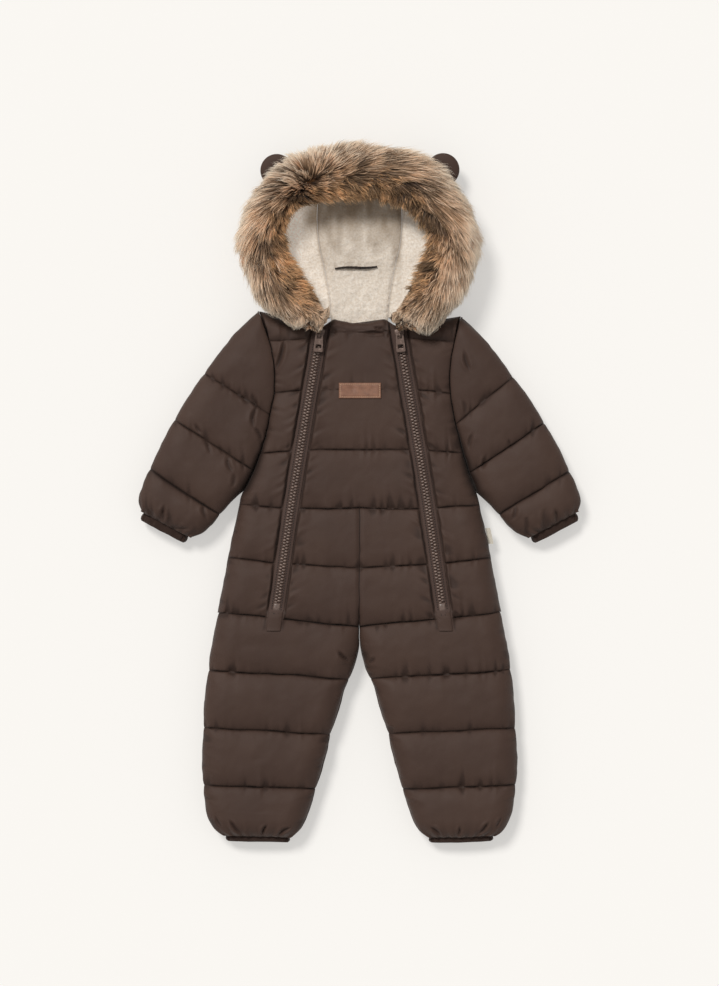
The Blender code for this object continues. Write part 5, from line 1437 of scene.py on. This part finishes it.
class Nodes:
    """A material's node tree, with short ways to add and join nodes."""

    def __init__(self, name):
        self.material = bpy.data.materials.new(name)
        self.material.use_nodes = True
        self.tree = self.material.node_tree
        self.shader = self.tree.nodes["Principled BSDF"]
        self.place = self.add("ShaderNodeTexCoord").outputs["Object"]

    def add(self, kind, **settings):
        node = self.tree.nodes.new(kind)
        for key, value in settings.items():
            if hasattr(node, key):
                setattr(node, key, value)
            else:
                self.put(value, node.inputs[key.replace("_", " ").capitalize()])
        return node

    def put(self, value, socket):
        if isinstance(value, bpy.types.NodeSocket):
            self.tree.links.new(value, socket)
        else:
            socket.default_value = value

    def noise(self, scale, detail=2.0, roughness=0.5):
        node = self.add("ShaderNodeTexNoise")
        self.put(self.place, node.inputs["Vector"])
        self.put(scale, node.inputs["Scale"])
        self.put(detail, node.inputs["Detail"])
        self.put(roughness, node.inputs["Roughness"])
        return node.outputs["Fac"]

    def wave(self, scale, direction, distortion=0.0):
        node = self.add("ShaderNodeTexWave", bands_direction=direction)
        self.put(self.place, node.inputs["Vector"])
        self.put(scale, node.inputs["Scale"])
        self.put(distortion, node.inputs["Distortion"])
        return node.outputs["Fac"]

    def maths(self, operation, first, second=0.0):
        node = self.add("ShaderNodeMath", operation=operation)
        self.put(first, node.inputs[0])
        self.put(second, node.inputs[1])
        return node.outputs[0]

    def between(self, factor, low, high):
        """A value from low to high, or a mix of two colours."""
        if isinstance(low, (int, float)) and isinstance(high, (int, float)):
            node = self.add("ShaderNodeMapRange")
            self.put(factor, node.inputs["Value"])
            self.put(low, node.inputs["To Min"])
            self.put(high, node.inputs["To Max"])
            return node.outputs["Result"]
        node = self.add("ShaderNodeMix", data_type="RGBA")
        self.put(factor, node.inputs[0])
        for value, index in ((low, 6), (high, 7)):
            self.put((*value, 1.0) if isinstance(value, tuple) else value, node.inputs[index])
        return node.outputs[2]

    def spread(self, value, low, high):
        """A value's contrast drawn out, so that low becomes 0 and high 1."""
        node = self.add("ShaderNodeMapRange")
        for at, item in enumerate((value, low, high)):
            self.put(item, node.inputs[at])
        return node.outputs["Result"]

    def bump(self, height, distance, strength=1.0, under=None):
        node = self.add("ShaderNodeBump")
        self.put(height, node.inputs["Height"])
        self.put(distance, node.inputs["Distance"])
        self.put(strength, node.inputs["Strength"])
        if under is not None:
            self.put(under, node.inputs["Normal"])
        return node.outputs["Normal"]

    def attribute(self, name):
        return self.add("ShaderNodeAttribute", attribute_name=name)

    def finish(self, colour, roughness, normal=None, **inputs):
        self.put((*colour, 1.0) if isinstance(colour, tuple) else colour, self.shader.inputs["Base Color"])
        self.put(roughness, self.shader.inputs["Roughness"])
        if normal is not None:
            self.put(normal, self.shader.inputs["Normal"])
        for key, value in inputs.items():
            self.put(value, self.shader.inputs[key.replace("_", " ").title().replace("Ior", "IOR")])
        return self.material


def shell_fabric():
    """Plain woven polyester with a soft dull sheen, with painted shade in its seams, creases and along its
    quilting lines.
    """
    n = Nodes("padded_shell_fabric")
    plain, worn = srgb(*FABRIC), srgb(*FABRIC_LIGHT)
    colour = n.between(n.spread(n.noise(14.0, 3.0), 0.3, 0.7), plain, worn)
    threads = n.maths("MULTIPLY", n.wave(620.0, "X", 0.6), n.wave(620.0, "Y", 0.6))
    colour = n.between(n.between(threads, 0.10, 0.0), colour, srgb(40, 30, 26))
    # Painted shade: a mesh attribute darkens the cloth in its creases, folds, seams and quilting lines.
    painted_shade = n.attribute("painted_shade").outputs["Fac"]
    colour = n.between(n.maths("MULTIPLY", painted_shade, 0.88), colour, srgb(26, 15, 11))
    fine = n.bump(threads, 0.00012, 0.5)
    wrinkle = n.bump(n.noise(190.0, 3.0, 0.6), 0.0004, 0.35, fine)
    rough = n.between(n.noise(60.0), 0.52, 0.68)
    return n.finish(colour, rough, wrinkle, Sheen_Weight=0.05, Sheen_Roughness=0.45, Specular_Ior_Level=0.22)


def band_fabric():
    """Ribbed elastic with a fine cross weave."""
    n = Nodes("elastic_band_fabric")
    ribs = n.wave(260.0, "X", 1.2)
    weave = n.maths("MULTIPLY", n.wave(700.0, "Y", 1.0), ribs)
    colour = n.between(weave, srgb(48, 33, 27), srgb(74, 53, 44))
    return n.finish(colour, 0.8, n.bump(weave, 0.0004, 0.9), Sheen_Weight=0.03, Specular_Ior_Level=0.25)


def pile_lining(name="pile_lining_fabric", glow=0.0):
    """Cream pile with small matted curls, with painted shade in the crown and along its seams. glow is a
    painted light that brightens a piece in too deep a shade.
    """
    n = Nodes(name)
    curls = n.noise(420.0, 4.0, 0.62)
    tufts = n.noise(130.0, 2.0, 0.6)
    colour = n.between(n.spread(curls, 0.32, 0.68), srgb(222, 208, 192), srgb(252, 245, 236))
    colour = n.between(n.between(n.spread(tufts, 0.3, 0.75), 0.25, 0.0), colour, srgb(206, 190, 170))
    # Painted shade: a mesh attribute darkens the pile under the crown and along its seams.
    colour = n.between(n.attribute("painted_shade").outputs["Fac"], colour, srgb(118, 94, 64))
    normal = n.bump(curls, 0.0012, 0.75, n.bump(tufts, 0.0022, 0.5))
    n.put(colour, n.shader.inputs["Emission Color"])
    return n.finish(colour, 0.95, normal, Sheen_Weight=0.35, Sheen_Roughness=0.7, Specular_Ior_Level=0.1,
                    Emission_Strength=glow)


def fur_hair():
    """Hair with its own colour along each strand, and a soft light of its own thickness."""
    n = Nodes("faux_fur_hair")
    colour = n.attribute("hair").outputs["Color"]
    tint = n.between(n.noise(55.0, 2.0), 0.0, 0.25)
    colour = n.between(tint, colour, srgb(118, 90, 66))
    through = n.add("ShaderNodeBsdfTranslucent")
    n.put(colour, through.inputs["Color"])
    blend = n.add("ShaderNodeMixShader")
    n.put(0.35, blend.inputs["Fac"])
    n.tree.links.new(n.shader.outputs[0], blend.inputs[1])
    n.tree.links.new(through.outputs[0], blend.inputs[2])
    n.tree.links.new(blend.outputs[0], n.tree.nodes["Material Output"].inputs["Surface"])
    return n.finish(colour, 0.55, Sheen_Weight=0.1, Specular_Ior_Level=0.4)


def fur_underfur():
    """Dense dark underfur and its backing."""
    n = Nodes("faux_fur_underfur")
    tufts = n.noise(260.0, 4.0, 0.7)
    colour = n.between(n.spread(tufts, 0.3, 0.7), srgb(52, 33, 22), srgb(122, 86, 56))
    return n.finish(colour, 0.95, n.bump(tufts, 0.003, 0.9), Specular_Ior_Level=0.1)


def zip_tape():
    """Herringbone tape of the zip."""
    n = Nodes("zip_tape_weave")
    ribs = n.wave(520.0, "DIAGONAL", 0.4)
    colour = n.between(ribs, srgb(58, 42, 36), srgb(80, 59, 51))
    return n.finish(colour, 0.78, n.bump(ribs, 0.0003, 0.6), Sheen_Weight=0.05)


def tooth_plastic(name, dark, light):
    """Moulded plastic with faint scuffs on its high spots, whose lighter colour is also a painted highlight.
    """
    n = Nodes(name)
    # Painted highlight: the lighter patches stand for glints as well as scuffs.
    scuffs_and_highlights = n.spread(n.noise(340.0, 4.0, 0.7), 0.4, 0.75)
    colour = n.between(scuffs_and_highlights, srgb(*dark), srgb(*light))
    rough = n.between(scuffs_and_highlights, 0.32, 0.5)
    return n.finish(colour, rough, n.bump(scuffs_and_highlights, 0.0001, 0.3), Specular_Ior_Level=0.6)


def painted_metal():
    """Matt paint on the slider and its pull tab, worn lighter in places."""
    n = Nodes("painted_zip_metal")
    worn = n.spread(n.noise(220.0, 5.0, 0.7), 0.5, 0.78)
    colour = n.between(worn, srgb(98, 80, 72), srgb(150, 128, 118))
    rough = n.between(worn, 0.42, 0.28)
    return n.finish(colour, rough, n.bump(n.noise(900.0), 0.00006, 0.3), Metallic=0.35)


def leather():
    """Tan leather with a fine pebbled grain and darker edges."""
    n = Nodes("leather_patch_grain")
    cells = n.add("ShaderNodeTexVoronoi", feature="F1")
    n.put(n.place, cells.inputs["Vector"])
    n.put(900.0, cells.inputs["Scale"])
    grain = cells.outputs["Distance"]
    mottle = n.spread(n.noise(160.0, 4.0, 0.65), 0.3, 0.7)
    colour = n.between(mottle, srgb(116, 78, 59), srgb(140, 98, 76))
    colour = n.between(n.between(grain, 0.0, 0.25), colour, srgb(86, 54, 38))
    return n.finish(colour, n.between(mottle, 0.5, 0.62), n.bump(grain, 0.0003, 0.6))


def woven_label():
    n = Nodes("woven_label_tape")
    weave = n.maths("MULTIPLY", n.wave(600.0, "X"), n.wave(600.0, "Y"))
    colour = n.between(weave, srgb(196, 188, 174), srgb(226, 220, 208))
    return n.finish(colour, 0.7, n.bump(weave, 0.0002, 0.6), Sheen_Weight=0.1)


def loop_cord():
    n = Nodes("braided_loop_cord")
    braid = n.maths("MULTIPLY", n.wave(360.0, "DIAGONAL", 0.3), n.wave(500.0, "X", 0.5))
    colour = n.between(braid, srgb(34, 25, 21), srgb(62, 48, 41))
    return n.finish(colour, 0.8, n.bump(braid, 0.0005, 0.8))


def sewing_thread(name, colour):
    n = Nodes(name)
    twist = n.wave(1500.0, "DIAGONAL", 0.5)
    tone = n.between(twist, srgb(*[int(v * 0.8) for v in colour]), srgb(*colour))
    return n.finish(tone, 0.6, n.bump(twist, 0.0001, 0.6))


def floor_surface():
    """A smooth painted board, which glows a little, so that shadows on it stay faint."""
    n = Nodes("pale_board")
    colour = n.between(n.noise(6.0, 2.0), srgb(*FLOOR_COLOUR), srgb(*FLOOR_COLOUR))
    glow = n.add("ShaderNodeEmission")
    n.put(colour, glow.inputs["Color"])
    blend = n.add("ShaderNodeMixShader")
    n.put(FLOOR_GLOW, blend.inputs["Fac"])
    n.tree.links.new(n.shader.outputs[0], blend.inputs[1])
    n.tree.links.new(glow.outputs[0], blend.inputs[2])
    n.tree.links.new(blend.outputs[0], n.tree.nodes["Material Output"].inputs["Surface"])
    return n.finish(colour, 0.9, n.bump(n.noise(300.0), 0.00005, 0.1), Specular_Ior_Level=0.0)


# Stage ----------------------------------------------------------------------------------------------------


def stage():
    """A pale floor, a wide soft light from the upper left, an even sky, and a camera straight above."""
    bpy.ops.mesh.primitive_grid_add(
        x_subdivisions=4, y_subdivisions=4, size=9.0, location=(0.0, 0.0, -0.0005))
    board = bpy.context.object
    board.name = "floor_board"
    board.data.materials.append(floor_surface())
    world = bpy.data.worlds.new("even_sky")
    world.use_nodes = True
    world.node_tree.nodes["Background"].inputs["Color"].default_value = SKY
    world.node_tree.nodes["Background"].inputs["Strength"].default_value = SKY_STRENGTH
    bpy.context.scene.world = world
    light = bpy.data.lights.new("window", "SUN")
    light.energy = SUN_STRENGTH
    light.angle = math.radians(SUN_SPREAD)
    light.color = SUN_COLOUR
    lamp = bpy.data.objects.new("window", light)
    lamp.rotation_euler = Vector(SUN_FROM).to_track_quat("Z", "Y").to_euler()
    bpy.context.scene.collection.objects.link(lamp)
    lens = bpy.data.cameras.new("camera")
    lens.lens = 135.0
    lens.sensor_width = 36.0
    lens.sensor_fit = "VERTICAL"
    lens.sensor_height = 36.0
    lens.clip_end = 20.0
    camera = bpy.data.objects.new("camera", lens)
    camera.location = (0.0, 0.0, FRAME_HEIGHT * MM * lens.lens / lens.sensor_height + FOCUS_LEVEL * MM)
    bpy.context.scene.collection.objects.link(camera)
    scene = bpy.context.scene
    scene.camera = camera
    scene.render.resolution_x = 719
    scene.render.resolution_y = 986
    scene.view_settings.view_transform = "Standard"
    scene.view_settings.look = "None"


# The whole snowsuit ---------------------------------------------------------------------------------------

FABRIC, FABRIC_LIGHT = (65, 48, 41), (70, 52, 44)
FRAME_HEIGHT, FOCUS_LEVEL = 1183.2, 22.0
SKY, SKY_STRENGTH = (1.0, 0.985, 0.955, 1.0), 0.49
SUN_STRENGTH, SUN_SPREAD, SUN_COLOUR, SUN_FROM = 2.22, 17.0, (1.0, 0.98, 0.945), (-0.42, 0.6, 1.0)
FLOOR_COLOUR, FLOOR_GLOW = (247, 245, 242), 0.48      # share of the board's light that isn't shaded


def front_pieces():
    """All front pieces of the body, by the names of their solids."""
    rows = BODY_LINES
    made = {"front_centre": centre_piece()}
    for label, side in SIDES.items():
        shoulder = float(smooth(TOP_EDGE, column_of(side), 121.0))
        lines = [(197.0, shoulder, 0.01)]
        names = ("yoke", "chest", "midriff", "waist", "hip", "seat")
        lines += [(rows[n][1], rows[n][0], rows[n][3]) for n in names]

        def outer(y, side=side):
            return side_edge(np.array(y), side)

        def top(x, side=side):
            return smooth(TOP_EDGE, column_of(side), x)

        made[f"front_side_{label}"] = front_piece(
            f"front_side_{label}_cloth", side, lines, lambda y: zip_edge(y) + GAP / 2, outer,
            side_columns, 100,
            edge=top)
        lines = [(rows[n][2], rows[n][1], rows[n][4]) for n in ("waist", "hip", "seat")]
        made[f"front_lower_{label}"] = front_piece(
            f"front_lower_{label}_cloth", side, lines, lambda y: GAP / 2, lambda y: zip_edge(y) - GAP / 2,
            lower_columns, 120)
        lines = [(rows[n][2], rows[n][0], rows[n][3]) for n in ("seat", "thigh", "knee", "shin", "ankle")]
        made[f"leg_front_{label}"] = front_piece(
            f"leg_front_{label}_cloth", side, lines, inner_leg, outer, leg_columns, 140,
            draw_in=(NOTCH * 0.6, NOTCH))
    return made


def main():
    cloth, band_cloth, pile = shell_fabric(), band_fabric(), pile_lining()
    # The left lining side glows a little: painted light that brightens it where the fur shades it.
    glowing_pile = pile_lining("pile_lining_fabric_left", 0.24)
    tape_cloth, metal = zip_tape(), painted_metal()
    tooth = tooth_plastic("zip_teeth_plastic", (74, 58, 51), (150, 127, 115))
    stop_plastic = tooth_plastic("zip_stop_plastic", (84, 68, 61), (120, 101, 92))
    thread = sewing_thread("dark_sewing_thread", (34, 24, 20))
    fronts = front_pieces()
    for node, piece in fronts.items():
        finish_piece(piece, cloth, (node,))
    for label, side in SIDES.items():
        finish_piece(back_piece(label, side), cloth, (f"back_{label}",))
        upper, under = sleeve_pieces(label, side)
        finish_piece(upper, cloth, (f"sleeve_upper_{label}",))
        finish_piece(under, cloth, (f"sleeve_under_{label}",))
        cuff, ankle = bands(label, side)
        finish_piece(cuff, band_cloth, (f"cuff_band_{label}",))
        finish_piece(ankle, band_cloth, (f"ankle_band_{label}",))
        finish_piece(ear(label), cloth, (f"ear_{label}",))
    hood = hood_pieces()
    for node, piece in hood.items():
        if node.startswith("hood"):
            finish_piece(piece, cloth, (node,))
        else:
            own_pile = glowing_pile if "left" in node else pile
            finish_piece(piece, own_pile, (node,))
    finish_piece(fur_core(), fur_underfur(), ("fur_trim",))
    hair = fur_hair()
    for piece in fur_hairs():
        finish_piece(piece, hair)
    on_front = surface_of(fronts.values())
    for label, side in SIDES.items():
        tape, teeth, stop = zip_pieces(label, side, on_front)
        finish_piece(tape, tape_cloth, (f"zip_{label}",))
        finish_piece(teeth, tooth)
        finish_piece(stop, stop_plastic)
        finish_piece(end_patch(label, side, on_front), cloth)
        frame_place = slider_frame(side)
        body, arch = slider(label, frame_place)
        finish_piece(body, metal, (f"slider_{label}",))
        finish_piece(arch, metal)
        tab = pull_tab(label, frame_place)
        finish_piece(tab, metal, (f"pull_tab_{label}",), body=f"pull_tab_{label}")
        lines = []
        for off in (-5.6, 5.6):
            lines.append([zip_place(y, side, off)[0] for y in np.linspace(178.0, -140.0, 60)])
        sewn = stitches(f"zip_stitches_{label}", surface_of([tape]), lines, 2.9, 1.9, 1.1)
        finish_piece(sewn, thread)
    patch = chest_patch(on_front)
    finish_piece(patch, leather(), ("chest_patch",))
    x0, y0 = CHEST_PATCH["middle"]
    a, b = CHEST_PATCH["width"] / 2 - 1.7, CHEST_PATCH["height"] / 2 - 1.7
    border = [[(x0 - a, y0 + b), (x0 + a, y0 + b), (x0 + a, y0 - b), (x0 - a, y0 - b), (x0 - a, y0 + b)]]
    patch_thread = sewing_thread("tan_sewing_thread", (205, 165, 135))
    sewn = stitches("chest_patch_stitches", surface_of([patch]), border, 2.5, 1.8)
    finish_piece(sewn, patch_thread)
    finish_piece(hanger_loop(surface_of([hood["lining_centre"]])), loop_cord(), ("hanger_loop",))
    finish_piece(side_label(), woven_label(), ("side_label_right",))
    stage()


main()
